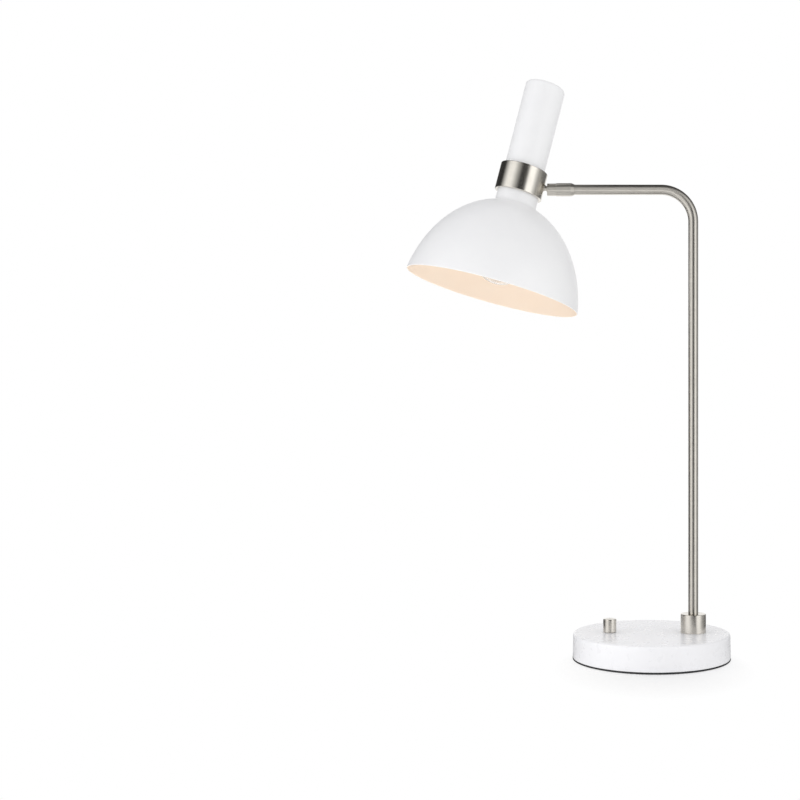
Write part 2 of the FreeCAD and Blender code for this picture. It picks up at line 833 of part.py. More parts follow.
def neck_grub_screws():
    screws = []
    for turn, height in neck_screw_places():
        screw = grub_screw(neck_screw_radius, neck_radius + fixed_gap, collar_radius - collar_edge)
        screws.append(in_head(moved(turned_about(screw, V(0, 0, 1), turn), 0, 0, height)))
    return Part.makeCompound(screws)


def holder_plate():
    plate = ring(neck_radius - fixed_gap, nipple_radius + fixed_gap, plate_seat, plate_upper)
    for x, y in holder_screw_places():
        plate = plate.cut(moved(disc(small_screw_radius + fixed_gap, plate_seat, plate_upper), x, y))
    return in_head(plate)


def holder_screws():
    screw = turned_about(small_screw(holder_plate_thickness + collar_web), V(1, 0, 0), 180)
    return Part.makeCompound([in_head(moved(screw, x, y, plate_upper)) for x, y in holder_screw_places()])


def nipple():
    top = plate_upper + nipple_nut_thickness + thread_spare
    return in_head(ring(nipple_radius, nipple_bore_radius, plate_seat - nipple_depth, top))


def nipple_nut():
    return in_head(hexagon(nipple_nut_flats, plate_upper, plate_upper + nipple_nut_thickness,
                           nipple_radius + fixed_gap))


# ---- Lampholder ----
def lampholder():
    """Moulded body: threaded boss on top, flange for the shade's lip, long skirt round the screw shell."""
    flange_top = shade_neck_top + holder_flange_thickness
    shoulder = holder_shell_radius - holder_shoulder
    body = turned(
        (0, plate_seat), (holder_boss_radius, plate_seat), (holder_boss_radius, -holder_top),
        (shoulder, -holder_top), corner_arc(shoulder, -holder_top - holder_shoulder, holder_shoulder, 90, 0),
        (holder_shell_radius, flange_top), (holder_flange_radius, flange_top),
        (holder_flange_radius, shade_neck_top), (holder_thread_radius, shade_neck_top),
        (holder_thread_radius, holder_mouth), (shell_cavity_radius, holder_mouth),
        (shell_cavity_radius, holder_floor_under), (0, holder_floor_under))
    boss_bore = disc(nipple_radius + fixed_gap, plate_seat - nipple_depth - loose_gap, plate_seat)
    entry = disc(lead_radius + loose_gap, holder_lead_end() - loose_gap, 0)
    return in_head(body.cut(boss_bore).cut(moved(entry, holder_lead_from_axis)))


def holder_lead_end():
    """Height in the lampholder's floor at which the lead stops."""
    return -holder_top - holder_floor / 2 - fixed_gap


def wave(radius, depth, top, pitch, turns):
    """Outline steps down a rolled thread of round ridges, from its mid radius to its mid radius."""
    middle = radius - depth / 2
    steps = []
    for k in range(turns):
        start = top - k * pitch
        steps.append((radius, start - pitch / 4, middle, start - pitch / 2))
        steps.append((radius - depth, start - 3 * pitch / 4, middle, start - pitch))
    return steps


def screw_shell():
    """Rolled brass shell in the lampholder that the bulb's cap screws into."""
    radius = cap_thread_radius + thread_gap
    middle = radius - cap_thread_depth / 2
    ridges = wave(radius, cap_thread_depth, insulator_under, cap_thread_pitch, cap_thread_turns)
    return in_head(turned((middle, insulator_under), *ridges, (shell_radius, cap_skirt_top),
                          (shell_radius, insulator_under)))


def centre_contact():
    """Sprung contact button on the lampholder's floor."""
    return in_head(turned(
        (0, holder_floor_under), (contact_radius, holder_floor_under),
        (contact_radius, holder_floor_under - contact_height / 2),
        (contact_radius / 2, contact_under), (0, contact_under)))


def shade_ring():
    """Threaded ring that clamps the shade's lip against the lampholder's flange."""
    inner = holder_thread_radius + thread_gap
    return in_head(ring(inner + ring_wall, inner, shade_lip_under - ring_height, shade_lip_under))


# ---- Shade: a spun dome, part of an ellipse in section, with a straight neck and a concave fillet ----
def dome_point(turn, offset):
    """Radius and height on the dome's section, offset outwards; turn is zero at the crown."""
    rise = math.cos(turn)
    reach = math.sin(turn)
    slope = math.hypot(shade_crown * reach, shade_bulge_radius * rise)
    return (shade_bulge_radius * reach + offset * shade_crown * reach / slope,
            shade_crown * rise - shade_centre_drop + offset * shade_bulge_radius * rise / slope)


def fillet_turn():
    """Turn at which the neck's fillet meets the dome, by halving."""
    low = 0.0
    high = math.pi / 2
    while high - low > 1e-12:
        middle = (low + high) / 2
        if dome_point(middle, shade_fillet)[0] < shade_neck_radius + shade_fillet:
            low = middle
        else:
            high = middle
    return low


def shade_side(offset):
    """Edges of one side of the shade's wall, from the neck's top to the rim."""
    start = fillet_turn()
    end = math.acos(shade_rim_rise / shade_crown)
    centre_r, centre_z = dome_point(start, shade_fillet)
    meet = V(dome_point(start, offset)[0], 0, dome_point(start, offset)[1])
    top = shade_neck_top + min(offset, 0)
    foot = V(centre_r - shade_fillet + offset, 0, centre_z)
    bend = math.degrees(math.atan2(meet.z - centre_z, meet.x - centre_r)) % 360
    middle = corner_arc(centre_r, centre_z, shade_fillet - offset, 180, bend)
    points = []
    for k in range(shade_section_points + 1):
        radius, height = dome_point(start + (end - start) * k / shade_section_points, offset)
        points.append(V(radius, 0, height))
    dome = Part.BSplineCurve()
    dome.interpolate(points)
    return [Part.LineSegment(V(foot.x, 0, top), foot).toShape(),
            Part.Arc(foot, V(middle[0], 0, middle[1]), meet).toShape(), dome.toShape()], points[-1]


def shade():
    outer, outer_rim = shade_side(0)
    inner, inner_rim = shade_side(-shade_wall)
    lip = holder_thread_radius + thread_gap
    edges = outer + [Part.LineSegment(outer_rim, inner_rim).toShape()] + inner[::-1]
    edges.append(Part.makePolygon([V(shade_neck_radius - shade_wall, 0, shade_lip_under),
                                   V(lip, 0, shade_lip_under), V(lip, 0, shade_neck_top),
                                   V(shade_neck_radius, 0, shade_neck_top)]))
    flat = [edge for shape in edges for edge in shape.Edges]
    return in_head(revolved(flat))


# ---- Bulb ----
def glass_form(inset, top):
    """Solid pear form: globe, concave shoulder and straight neck, inset all round."""
    neck_end = top - glass_neck_length
    fall = globe_drop + neck_end
    bend = (glass_neck_radius ** 2 + fall ** 2 - globe_radius ** 2) / (2 * (globe_radius - glass_neck_radius))
    centre = glass_neck_radius + bend
    meet = math.degrees(math.atan2(fall, centre))
    return turned((0, top), (glass_neck_radius - inset, top), (glass_neck_radius - inset, neck_end),
                  corner_arc(centre, neck_end, bend + inset, 180, 180 + meet),
                  corner_arc(0, -globe_drop, globe_radius - inset, meet, -90))


def glass_top():
    return cap_skirt_top - cap_wall - fixed_gap


def bulb_glass():
    return in_head(glass_form(0, glass_top()).cut(glass_form(glass_wall, glass_top())))


def bulb_cap():
    middle = cap_thread_radius - cap_thread_depth / 2
    ridges = wave(cap_thread_radius, cap_thread_depth, insulator_under, cap_thread_pitch, cap_thread_turns)
    skirt_bore = glass_neck_radius + fixed_gap
    return in_head(turned(
        (cap_bore_radius, insulator_under), (middle, insulator_under), *ridges,
        (cap_skirt_radius, cap_skirt_top), (cap_skirt_radius, cap_end), (skirt_bore, cap_end),
        (skirt_bore, cap_skirt_top - cap_wall), (cap_bore_radius, cap_skirt_top - cap_wall)))


def bulb_insulator():
    return in_head(turned(
        (0, insulator_under), (cap_thread_radius - cap_thread_depth, insulator_under),
        (tip_radius + loose_gap, tip_under), (0, tip_under)))


def bulb_tip():
    return in_head(turned((0, tip_under), (tip_radius, tip_under), (tip_radius / 2, contact_under),
                          (0, contact_under)))


def stem_foot():
    return glass_top() - stem_length


def bulb_stem():
    """Glass stem: a flare sealed to the bulb's neck, drawn down to a rod."""
    top = glass_top() - cap_wall
    flare = glass_neck_radius - glass_wall - fixed_gap
    rim = top - stem_flare_height
    reach = flare - stem_radius
    return in_head(turned(
        (0, top), (flare, top), (flare, rim), corner_arc(flare, rim - reach, reach, 90, 180),
        (stem_radius, stem_foot()), (0, stem_foot())))


def bulb_filament():
    """One wire: down from the stem, out to a wide loop and back."""
    root = stem_radius / 2
    top = stem_foot() - filament_radius / 2
    low = stem_foot() - filament_drop
    points = [V(-root, 0, top), V(-filament_spread, 0, low), V(0, 0, low - filament_spread / 2),
              V(filament_spread, 0, low), V(root, 0, top)]
    bends = [filament_spread / 4, filament_spread, filament_spread / 4]
    return in_head(pipe(bent_path(points, bends), filament_radius))


# ---- Leads that the lamp holds all the way ----
def lead(name, points, radii):
    path = bent_path(points, radii)
    solid = pipe(path, lead_radius)
    print(name + ":", "bend radii", [round(radius, 1) for radius in radii], "length", round(path.Length, 1),
          "volume over section times length",
          round(solid.Volume / (math.pi * lead_radius ** 2 * path.Length), 4))
    return solid


def pole_lead():
    """From the block along the pocket, up through the pole and along the arm to the ball's back."""
    pole = block_pitch * (block_poles - 1) / 2
    points = [V(pole, block_from_centre, insert_height()), V(pole, lead_outlet_y(), insert_height()),
              V(pole + lead_aside, lead_crossing, lead_level()),
              V(pole_from_centre - 2 * pole_lead_bend, 0, lead_level()),
              V(pole_from_centre, 0, lead_level()), V(pole_from_centre, 0, arm_height),
              V(ball_x + ball_radius + loose_gap, 0, arm_height)]
    return lead("pole lead", points, widest_radii(points)[:3] + [pole_lead_bend, arm_bend_radius])


def lead_outlet_y():
    """How far from the centre a lead leaves its straight run out of the terminal block."""
    return block_from_centre - block_width / 2 - lead_outlet


def lead_level():
    """Height at which the leads cross the pocket, clear of the closing plate."""
    return plate_top + lead_radius + lead_lift


def dimmer_lead():
    pole = -block_pitch * (block_poles - 1) / 2
    end = knob_x + dimmer_width / 2 + lug_length + fixed_gap
    points = [V(pole, block_from_centre, insert_height()), V(pole, 0, insert_height()),
              V(end, 0, insert_height())]
    return lead("dimmer lead", points, widest_radii(points))


def earth_lead():
    place = earth_from_centre + tag_tail_length - lead_radius
    points = [V(0, block_from_centre, insert_height()), V(0, place, insert_height()),
              V(0, place, pocket_roof - tag_thickness - fixed_gap)]
    return lead("earth lead", points, widest_radii(points))


def head_lead():
    """From the stud's inner end over the lampholder's shoulder and down into it."""
    start = nut_seat - stud_nut_thickness - stud_spare - fixed_gap
    points = [V(start, 0, 0), V(holder_lead_from_axis, 0, 0), V(holder_lead_from_axis, 0, holder_lead_end())]
    return in_head(lead("head lead", points, widest_radii(points)))


nodes = {
    "base_pad": base_pad, "base_plate": base_plate, "plate_screws": plate_screws,
    "base_weight": base_weight, "base_cover": base_cover, "cord_gland": cord_gland,
    "gland_nut": gland_nut, "terminal_block": terminal_block, "terminal_inserts": terminal_inserts,
    "terminal_screws": terminal_screws, "block_screw": block_screw, "earth_tag": earth_tag,
    "earth_screw": earth_screw, "dimmer_body": dimmer_body, "dimmer_lugs": dimmer_lugs,
    "dimmer_bush": dimmer_bush, "dimmer_nut": dimmer_nut, "dimmer_shaft": dimmer_shaft,
    "dimmer_knob": dimmer_knob, "knob_grub_screw": knob_grub_screw, "pole_ferrule": pole_ferrule,
    "ferrule_grub_screw": ferrule_grub_screw, "pole_washer": pole_washer, "pole_nut": pole_nut,
    "arm_tube": arm_tube, "arm_plug": arm_plug, "swivel_sleeve": swivel_sleeve,
    "sleeve_grub_screw": sleeve_grub_screw, "swivel_nose": swivel_nose, "ball_seat": ball_seat,
    "disc_springs": disc_springs, "ball_stud": ball_stud, "stud_nut": stud_nut, "collar": collar,
    "neck_tube": neck_tube, "neck_grub_screws": neck_grub_screws, "holder_plate": holder_plate,
    "holder_screws": holder_screws, "nipple": nipple, "nipple_nut": nipple_nut,
    "lampholder": lampholder, "screw_shell": screw_shell, "centre_contact": centre_contact,
    "shade_ring": shade_ring, "shade": shade, "bulb_glass": bulb_glass, "bulb_cap": bulb_cap,
    "bulb_insulator": bulb_insulator, "bulb_tip": bulb_tip, "bulb_stem": bulb_stem,
    "bulb_filament": bulb_filament, "pole_lead": pole_lead, "dimmer_lead": dimmer_lead,
    "earth_lead": earth_lead, "head_lead": head_lead,
}

os.makedirs("parts", exist_ok=True)
for node, make in nodes.items():
    save(node, make())
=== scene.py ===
import json
import math

import bmesh
import bpy
import numpy as np
from mathutils import Matrix, Vector

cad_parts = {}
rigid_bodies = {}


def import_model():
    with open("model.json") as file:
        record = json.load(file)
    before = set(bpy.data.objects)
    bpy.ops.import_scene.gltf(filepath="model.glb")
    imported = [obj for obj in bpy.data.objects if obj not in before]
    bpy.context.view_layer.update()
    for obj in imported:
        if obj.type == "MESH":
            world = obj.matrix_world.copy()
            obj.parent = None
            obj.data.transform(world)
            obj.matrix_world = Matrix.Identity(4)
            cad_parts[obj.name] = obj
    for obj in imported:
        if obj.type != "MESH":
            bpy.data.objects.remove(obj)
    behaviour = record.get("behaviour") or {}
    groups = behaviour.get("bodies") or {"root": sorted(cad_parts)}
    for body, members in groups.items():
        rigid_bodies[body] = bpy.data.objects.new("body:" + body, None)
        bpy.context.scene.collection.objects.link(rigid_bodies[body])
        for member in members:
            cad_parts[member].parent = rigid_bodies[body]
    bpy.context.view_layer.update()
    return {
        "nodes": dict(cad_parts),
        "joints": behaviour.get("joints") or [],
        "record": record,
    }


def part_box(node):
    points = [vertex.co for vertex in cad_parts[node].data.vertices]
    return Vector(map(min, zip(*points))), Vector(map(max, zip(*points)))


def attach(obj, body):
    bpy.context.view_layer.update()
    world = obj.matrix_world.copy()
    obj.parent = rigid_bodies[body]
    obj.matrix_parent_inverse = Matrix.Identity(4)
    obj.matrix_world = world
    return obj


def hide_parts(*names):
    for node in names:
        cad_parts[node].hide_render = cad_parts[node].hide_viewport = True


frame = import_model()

for leftover in [o for o in bpy.data.objects if o.name in ("Cube", "Light", "Camera")]:
    bpy.data.objects.remove(leftover)


# ---- Pad under the base ----
# A disc of black foam rubber, die-cut and glued to the closing plate, so that the heavy base neither slides
# nor scratches the table. It stands out by a hair all round, its edge is soft, and rings moulded in its
# underside grip.
MM = 0.001
ALONG_Z = Matrix.Identity(4)


def outline_of(corners, steps=5):
    """Outline in metres from corners of (radius, height, round) in millimetres; round 0 keeps a point."""
    points = []
    for k, (radius, height, wanted) in enumerate(corners):
        here = Vector((radius, height))
        if not wanted:
            points.append(here)
            continue
        before = Vector(corners[k - 1][:2]) - here
        after = Vector(corners[(k + 1) % len(corners)][:2]) - here
        half = before.angle(after) / 2
        room = 0.45 * min(before.length, after.length)
        setback = min(wanted / math.tan(half), room)
        before.normalize()
        after.normalize()
        centre = here + (before + after).normalized() * (setback / math.cos(half))
        support = min(0.7 * setback, 0.6 * (room - setback))
        if support > 0.01:
            points.append(here + before * (setback + support))
        start = here + before * setback - centre
        turn = -start.angle_signed(here + after * setback - centre)
        for step in range(steps + 1):
            points.append(centre + Matrix.Rotation(turn * step / steps, 2) @ start)
        if support > 0.01:
            points.append(here + after * (setback + support))
    return [(p.x * MM, p.y * MM) for p in points]


def link(tree, source, target):
    tree.links.new(source, target)


def lathe_tree():
    """Geometry Nodes tree that turns an outline of radius and height, given as points, about Z."""
    tree = bpy.data.node_groups.new("turn_on_lathe", "GeometryNodeTree")
    sockets = tree.interface
    sockets.new_socket("Geometry", in_out="OUTPUT", socket_type="NodeSocketGeometry")
    sockets.new_socket("Outline", in_out="INPUT", socket_type="NodeSocketGeometry")
    sockets.new_socket("Sides", in_out="INPUT", socket_type="NodeSocketInt").default_value = 96
    sockets.new_socket("Finish", in_out="INPUT", socket_type="NodeSocketMaterial")
    node = tree.nodes.new
    given = node("NodeGroupInput")
    size = node("GeometryNodeAttributeDomainSize")
    link(tree, given.outputs["Outline"], size.inputs[0])
    around = node("ShaderNodeMath")
    around.operation = "ADD"
    around.inputs[1].default_value = 1
    link(tree, given.outputs["Sides"], around.inputs[0])
    grid = node("GeometryNodeMeshGrid")
    link(tree, size.outputs["Point Count"], grid.inputs["Vertices X"])
    link(tree, around.outputs[0], grid.inputs["Vertices Y"])
    index = node("GeometryNodeInputIndex")
    divide = node("ShaderNodeMath")
    divide.operation = "DIVIDE"
    link(tree, index.outputs[0], divide.inputs[0])
    link(tree, around.outputs[0], divide.inputs[1])
    nudge = node("ShaderNodeMath")
    nudge.operation = "ADD"
    nudge.inputs[1].default_value = 1e-4
    link(tree, divide.outputs[0], nudge.inputs[0])
    row = node("ShaderNodeMath")
    row.operation = "FLOOR"
    link(tree, nudge.outputs[0], row.inputs[0])
    column = node("ShaderNodeMath")
    column.operation = "MODULO"
    link(tree, index.outputs[0], column.inputs[0])
    link(tree, around.outputs[0], column.inputs[1])
    share = node("ShaderNodeMath")
    share.operation = "DIVIDE"
    link(tree, column.outputs[0], share.inputs[0])
    link(tree, given.outputs["Sides"], share.inputs[1])
    angle = node("ShaderNodeMath")
    angle.operation = "MULTIPLY"
    angle.inputs[1].default_value = math.tau
    link(tree, share.outputs[0], angle.inputs[0])
    place = node("GeometryNodeInputPosition")
    sample = node("GeometryNodeSampleIndex")
    sample.data_type = "FLOAT_VECTOR"
    sample.domain = "POINT"
    link(tree, given.outputs["Outline"], sample.inputs["Geometry"])
    link(tree, place.outputs[0], sample.inputs["Value"])
    link(tree, row.outputs[0], sample.inputs["Index"])
    turn = node("ShaderNodeVectorRotate")
    turn.rotation_type = "Z_AXIS"
    link(tree, sample.outputs[0], turn.inputs["Vector"])
    link(tree, angle.outputs[0], turn.inputs["Angle"])
    lay = node("GeometryNodeSetPosition")
    link(tree, grid.outputs["Mesh"], lay.inputs["Geometry"])
    link(tree, turn.outputs[0], lay.inputs["Position"])
    close = node("GeometryNodeMergeByDistance")
    close.inputs["Distance"].default_value = 1e-6
    link(tree, lay.outputs[0], close.inputs["Geometry"])
    real = node("GeometryNodeRealizeInstances")
    link(tree, close.outputs[0], real.inputs[0])
    finish = node("GeometryNodeSetMaterial")
    link(tree, real.outputs[0], finish.inputs["Geometry"])
    link(tree, given.outputs["Finish"], finish.inputs["Material"])
    out = node("NodeGroupOutput")
    link(tree, finish.outputs[0], out.inputs[0])
    return tree


LATHE = lathe_tree()


def made_by_nodes(obj, tree, values):
    """Plain mesh that the tree makes of the object's mesh; values go to the inputs of these names."""
    modifier = obj.modifiers.new("nodes", "NODES")
    modifier.node_group = tree
    for item in tree.interface.items_tree:
        if item.in_out == "INPUT" and item.name in values:
            modifier[item.identifier] = values[item.name]
    bpy.context.view_layer.update()
    graph = bpy.context.evaluated_depsgraph_get()
    mesh = bpy.data.meshes.new_from_object(obj.evaluated_get(graph))
    obj.modifiers.clear()
    while len(mesh.materials) > 1 and mesh.materials[0] is None:
        mesh.materials.pop(index=0)
    return mesh


def faced_outwards(mesh):
    """Turns a closed shell's faces round where they point inwards."""
    work = bmesh.new()
    work.from_mesh(mesh)
    if work.calc_volume(signed=True) < 0:
        bmesh.ops.reverse_faces(work, faces=work.faces)
    work.to_mesh(mesh)
    work.free()


def piece_of(name, mesh, place=ALONG_Z):
    """Object of the mesh, at the origin, with its place in the mesh and smooth faces."""
    mesh.transform(place)
    faced_outwards(mesh)
    mesh.shade_smooth()
    obj = bpy.data.objects.new(name, mesh)
    bpy.context.scene.collection.objects.link(obj)
    return obj


def turned_mesh(outline, finish, sides, closed=True):
    """Mesh turned about Z; a ring's outline is closed, one that starts and ends on the axis isn't."""
    points = outline + outline[:1] if closed else outline
    mesh = bpy.data.meshes.new("outline")
    mesh.from_pydata([(r, 0, z) for r, z in points], [(k, k + 1) for k in range(len(points) - 1)], [])
    holder = bpy.data.objects.new("outline", mesh)
    bpy.context.scene.collection.objects.link(holder)
    result = made_by_nodes(holder, LATHE, {"Sides": sides, "Finish": finish})
    bpy.data.objects.remove(holder)
    return result


BODY_OF = {node: body for body, nodes in frame["record"]["behaviour"]["bodies"].items() for node in nodes}


def stands_for(piece, node):
    """The piece is shown in place of the CAD node and rides with its body."""
    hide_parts(node)
    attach(piece, BODY_OF[node])


def finish_of(name, roughness, metallic=0.0):
    """New material: its node tree, its shader and its Object coordinates."""
    material = bpy.data.materials.new(name)
    material.use_nodes = True
    tree = material.node_tree
    shader = tree.nodes["Principled BSDF"]
    shader.inputs["Roughness"].default_value = roughness
    shader.inputs["Metallic"].default_value = metallic
    coords = tree.nodes.new("ShaderNodeTexCoord").outputs["Object"]
    return material, tree, shader, coords


def noise(tree, coords, scale, detail=2.0, stretch=None):
    """Noise value over the coordinates, its grain per metre, stretched where three factors are given."""
    if stretch:
        mapping = tree.nodes.new("ShaderNodeMapping")
        mapping.inputs["Scale"].default_value = stretch
        link(tree, coords, mapping.inputs["Vector"])
        coords = mapping.outputs[0]
    texture = tree.nodes.new("ShaderNodeTexNoise")
    texture.inputs["Scale"].default_value = scale
    texture.inputs["Detail"].default_value = detail
    link(tree, coords, texture.inputs["Vector"])
    return texture.outputs[0]


def ranged(tree, value, low, high, start=0.35, end=0.65):
    """The value's middle part spread between two results."""
    spread = tree.nodes.new("ShaderNodeMapRange")
    spread.inputs["From Min"].default_value = start
    spread.inputs["From Max"].default_value = end
    spread.inputs["To Min"].default_value = low
    spread.inputs["To Max"].default_value = high
    link(tree, value, spread.inputs["Value"])
    return spread.outputs[0]


def tinted(tree, shader, value, dark, light):
    """Base colour that goes from one colour to another with the value."""
    mix = tree.nodes.new("ShaderNodeMix")
    mix.data_type = "RGBA"
    mix.inputs["A"].default_value = (*dark, 1)
    mix.inputs["B"].default_value = (*light, 1)
    link(tree, value, mix.inputs["Factor"])
    link(tree, mix.outputs["Result"], shader.inputs["Base Color"])


def bumped(tree, shader, value, depth, strength=1.0):
    """Bump of the depth in metres, laid over what bump the shader has."""
    bump = tree.nodes.new("ShaderNodeBump")
    bump.inputs["Strength"].default_value = strength
    bump.inputs["Distance"].default_value = depth
    link(tree, value, bump.inputs["Height"])
    normal = shader.inputs["Normal"]
    if normal.is_linked:
        link(tree, normal.links[0].from_socket, bump.inputs["Normal"])
    link(tree, bump.outputs[0], normal)


def foam_rubber():
    material, tree, shader, coords = finish_of("foam_rubber", 0.85)
    shader.inputs["Specular IOR Level"].default_value = 0.25
    cells = noise(tree, coords, 1800, 4)
    tinted(tree, shader, ranged(tree, cells, 0, 1), (0.012, 0.012, 0.013), (0.045, 0.045, 0.047))
    bumped(tree, shader, cells, 0.0001, 0.6)
    return material


pad_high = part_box("base_pad")[1]
pad_radius = pad_high.x / MM
pad_top = pad_high.z / MM
pad_corners = [(0, 0, 0)]
grip_radius, grip_pitch, grip_depth = 66.0, 6.0, 0.5
for k in range(5):
    outer = grip_radius - 2 * grip_pitch * (4 - k)
    pad_corners += [(outer - grip_pitch, 0, 0.2), (outer - grip_pitch, grip_depth, 0.2),
                    (outer, grip_depth, 0.2), (outer, 0, 0.2)]
pad_corners += [(pad_radius, 0, 0.5), (pad_radius, pad_top, 0.6), (0, pad_top, 0)]
pad = piece_of("pad", turned_mesh(outline_of(pad_corners), foam_rubber(), 192, closed=False))
stands_for(pad, "base_pad")


# ---- Closing plate and its screws ----
# A punched disc of zinc-plated steel closes the base from below. Three countersunk machine screws, plated
# the same way, hold it to the cast weight. Plating is pale grey with faint clouds and a fine rolled grain.
def plated_steel(name="zinc_plate", dark=(0.40, 0.40, 0.41), light=(0.56, 0.56, 0.57), roughness=0.34):
    material, tree, shader, coords = finish_of(name, roughness, metallic=1.0)
    clouds = noise(tree, coords, 260, 3)
    tinted(tree, shader, ranged(tree, clouds, 0, 1), dark, light)
    link(tree, ranged(tree, noise(tree, coords, 900, 2), roughness - 0.07, roughness + 0.1),
         shader.inputs["Roughness"])
    bumped(tree, shader, noise(tree, coords, 2600, 1, (1.0, 0.15, 1.0)), 0.00001, 0.5)
    return material


def refinished(material, *nodes):
    """Gives CAD nodes whose shape is right their real surface."""
    for node in nodes:
        for slot in frame["nodes"][node].material_slots:
            slot.material = material


zinc = plated_steel()
refinished(zinc, "base_plate", "plate_screws")


# ---- Cast weight ----
# A disc of grey iron, sand-cast and left raw, that fills the base and keeps the lamp upright. A pocket for
# the wiring is cast into its underside. The skin is dark, grainy and slightly rusty.
def raw_casting():
    material, tree, shader, coords = finish_of("raw_casting", 0.75, metallic=0.6)
    sand = noise(tree, coords, 900, 5)
    rust = noise(tree, coords, 60, 4)
    tinted(tree, shader, ranged(tree, rust, 0, 1, 0.45, 0.8), (0.055, 0.055, 0.058), (0.13, 0.075, 0.05))
    bumped(tree, shader, sand, 0.00025, 0.7)
    return material


refinished(raw_casting(), "base_weight")


# ---- Base cover ----
# A shallow cup of deep-drawn sheet steel, pulled over the weight and powder-coated white. The press leaves
# an even round where top and wall meet. The coat has a fine, soft orange peel and a satin gloss.
def powder_coat(name, pale, shadow, roughness=0.42):
    material, tree, shader, coords = finish_of(name, roughness)
    shader.inputs["IOR"].default_value = 1.5
    clouds = noise(tree, coords, 35, 3)
    tinted(tree, shader, ranged(tree, clouds, 0, 1, 0.3, 0.7), shadow, pale)
    link(tree, ranged(tree, noise(tree, coords, 140, 3), roughness - 0.04, roughness + 0.05),
         shader.inputs["Roughness"])
    bumped(tree, shader, noise(tree, coords, 900, 1), 0.00002, 0.35)
    bumped(tree, shader, noise(tree, coords, 3800, 2), 0.000004, 0.5)
    return material


def bored(piece, cutters):
    """Cuts round holes: each cutter is (start, end, radius) in metres, in the lamp's frame."""
    for k, (start, end, radius) in enumerate(cutters):
        mesh = turned_mesh([(0, 0), (radius, 0), (radius, (end - start).length), (0, (end - start).length)],
                           None, 48, closed=False)
        faced_outwards(mesh)
        mesh.transform(Matrix.Translation(start) @ (end - start).to_track_quat("Z", "Y").to_matrix().to_4x4())
        cutter = bpy.data.objects.new("drill", mesh)
        bpy.context.scene.collection.objects.link(cutter)
        modifier = piece.modifiers.new("drill", "BOOLEAN")
        modifier.operation = "DIFFERENCE"
        modifier.solver = "EXACT"
        modifier.object = cutter
        bpy.context.view_layer.update()
        graph = bpy.context.evaluated_depsgraph_get()
        result = bpy.data.meshes.new_from_object(piece.evaluated_get(graph))
        piece.modifiers.clear()
        piece.data = result
        bpy.data.objects.remove(cutter)
    work = bmesh.new()
    work.from_mesh(piece.data)
    for edge in work.edges:
        edge.smooth = not (len(edge.link_faces) == 2 and edge.calc_face_angle(0) > math.radians(40))
    work.to_mesh(piece.data)
    work.free()


cover_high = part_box("base_cover")[1]
base_radius = cover_high.x / MM
base_top = cover_high.z / MM
draft, wall, edge_round = 0.4, 1.2, 2.3
cover_corners = [
    (0, base_top, 0), (base_radius - draft, base_top, edge_round), (base_radius, pad_top, 0.35),
    (base_radius - wall, pad_top, 0.25), (base_radius - draft - wall, base_top - wall, edge_round - wall),
    (0, base_top - wall, 0)]
cover_white = powder_coat("cover_white", (0.89, 0.89, 0.905), (0.87, 0.87, 0.885), 0.30)
cover = piece_of("cover", turned_mesh(outline_of(cover_corners, steps=8), cover_white, 256, closed=False))
pole_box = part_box("pole_ferrule")
pole = Vector(((pole_box[0].x + pole_box[1].x) / 2, 0, 0))
knob_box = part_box("dimmer_knob")
knob_axis = Vector(((knob_box[0].x + knob_box[1].x) / 2, 0, 0))
gland_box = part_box("cord_gland")
gland_height = (gland_box[0].z + gland_box[1].z) / 2
tube_hole, bush_hole, barrel_hole = 5.05, 3.55, 4.4
under_top, over_top = Vector((0, 0, 0.015)), Vector((0, 0, 0.035))
inside_wall, outside_wall = Vector((0, 0.06, gland_height)), Vector((0, 0.09, gland_height))
bored(cover, [
    (pole + under_top, pole + over_top, tube_hole * MM),
    (knob_axis + under_top, knob_axis + over_top, bush_hole * MM),
    (inside_wall, outside_wall, barrel_hole * MM)])
stands_for(cover, "base_cover")


# ---- Cord gland ----
# A moulded nylon bush in the rear wall for the supply cord, flanged outside and rounded at its mouth. A steel
# nut holds it from within the cover.
def moulded_plastic(name, dark, light, roughness=0.45):
    material, tree, shader, coords = finish_of(name, roughness)
    shader.inputs["IOR"].default_value = 1.49
    tinted(tree, shader, ranged(tree, noise(tree, coords, 120, 3), 0, 1), dark, light)
    link(tree, ranged(tree, noise(tree, coords, 700, 2), roughness - 0.05, roughness + 0.08),
         shader.inputs["Roughness"])
    bumped(tree, shader, noise(tree, coords, 4200, 2), 0.00001, 0.6)
    return material


black_nylon = moulded_plastic("black_nylon", (0.018, 0.018, 0.019), (0.034, 0.034, 0.036))
refinished(black_nylon, "cord_gland")
refinished(zinc, "gland_nut")


# ---- Terminal block and earth point ----
# A white nylon strip with three brass inserts, each clamped by two small steel screws, fixed to the weight by
# a pan-head screw. Beside it a brass ring tag is screwed to the casting for the earth lead.
def rolled_brass(name="rolled_brass", dark=(0.62, 0.43, 0.17), light=(0.80, 0.60, 0.27), roughness=0.28):
    material, tree, shader, coords = finish_of(name, roughness, metallic=1.0)
    tinted(tree, shader, ranged(tree, noise(tree, coords, 300, 4), 0, 1), dark, light)
    link(tree, ranged(tree, noise(tree, coords, 1100, 2), roughness - 0.06, roughness + 0.12),
         shader.inputs["Roughness"])
    bumped(tree, shader, noise(tree, coords, 5000, 1), 0.000006, 0.5)
    return material


white_nylon = moulded_plastic("white_nylon", (0.76, 0.76, 0.74), (0.84, 0.84, 0.82))
brass = rolled_brass()
refinished(white_nylon, "terminal_block")
refinished(brass, "terminal_inserts", "earth_tag")
refinished(zinc, "terminal_screws", "block_screw", "earth_screw")


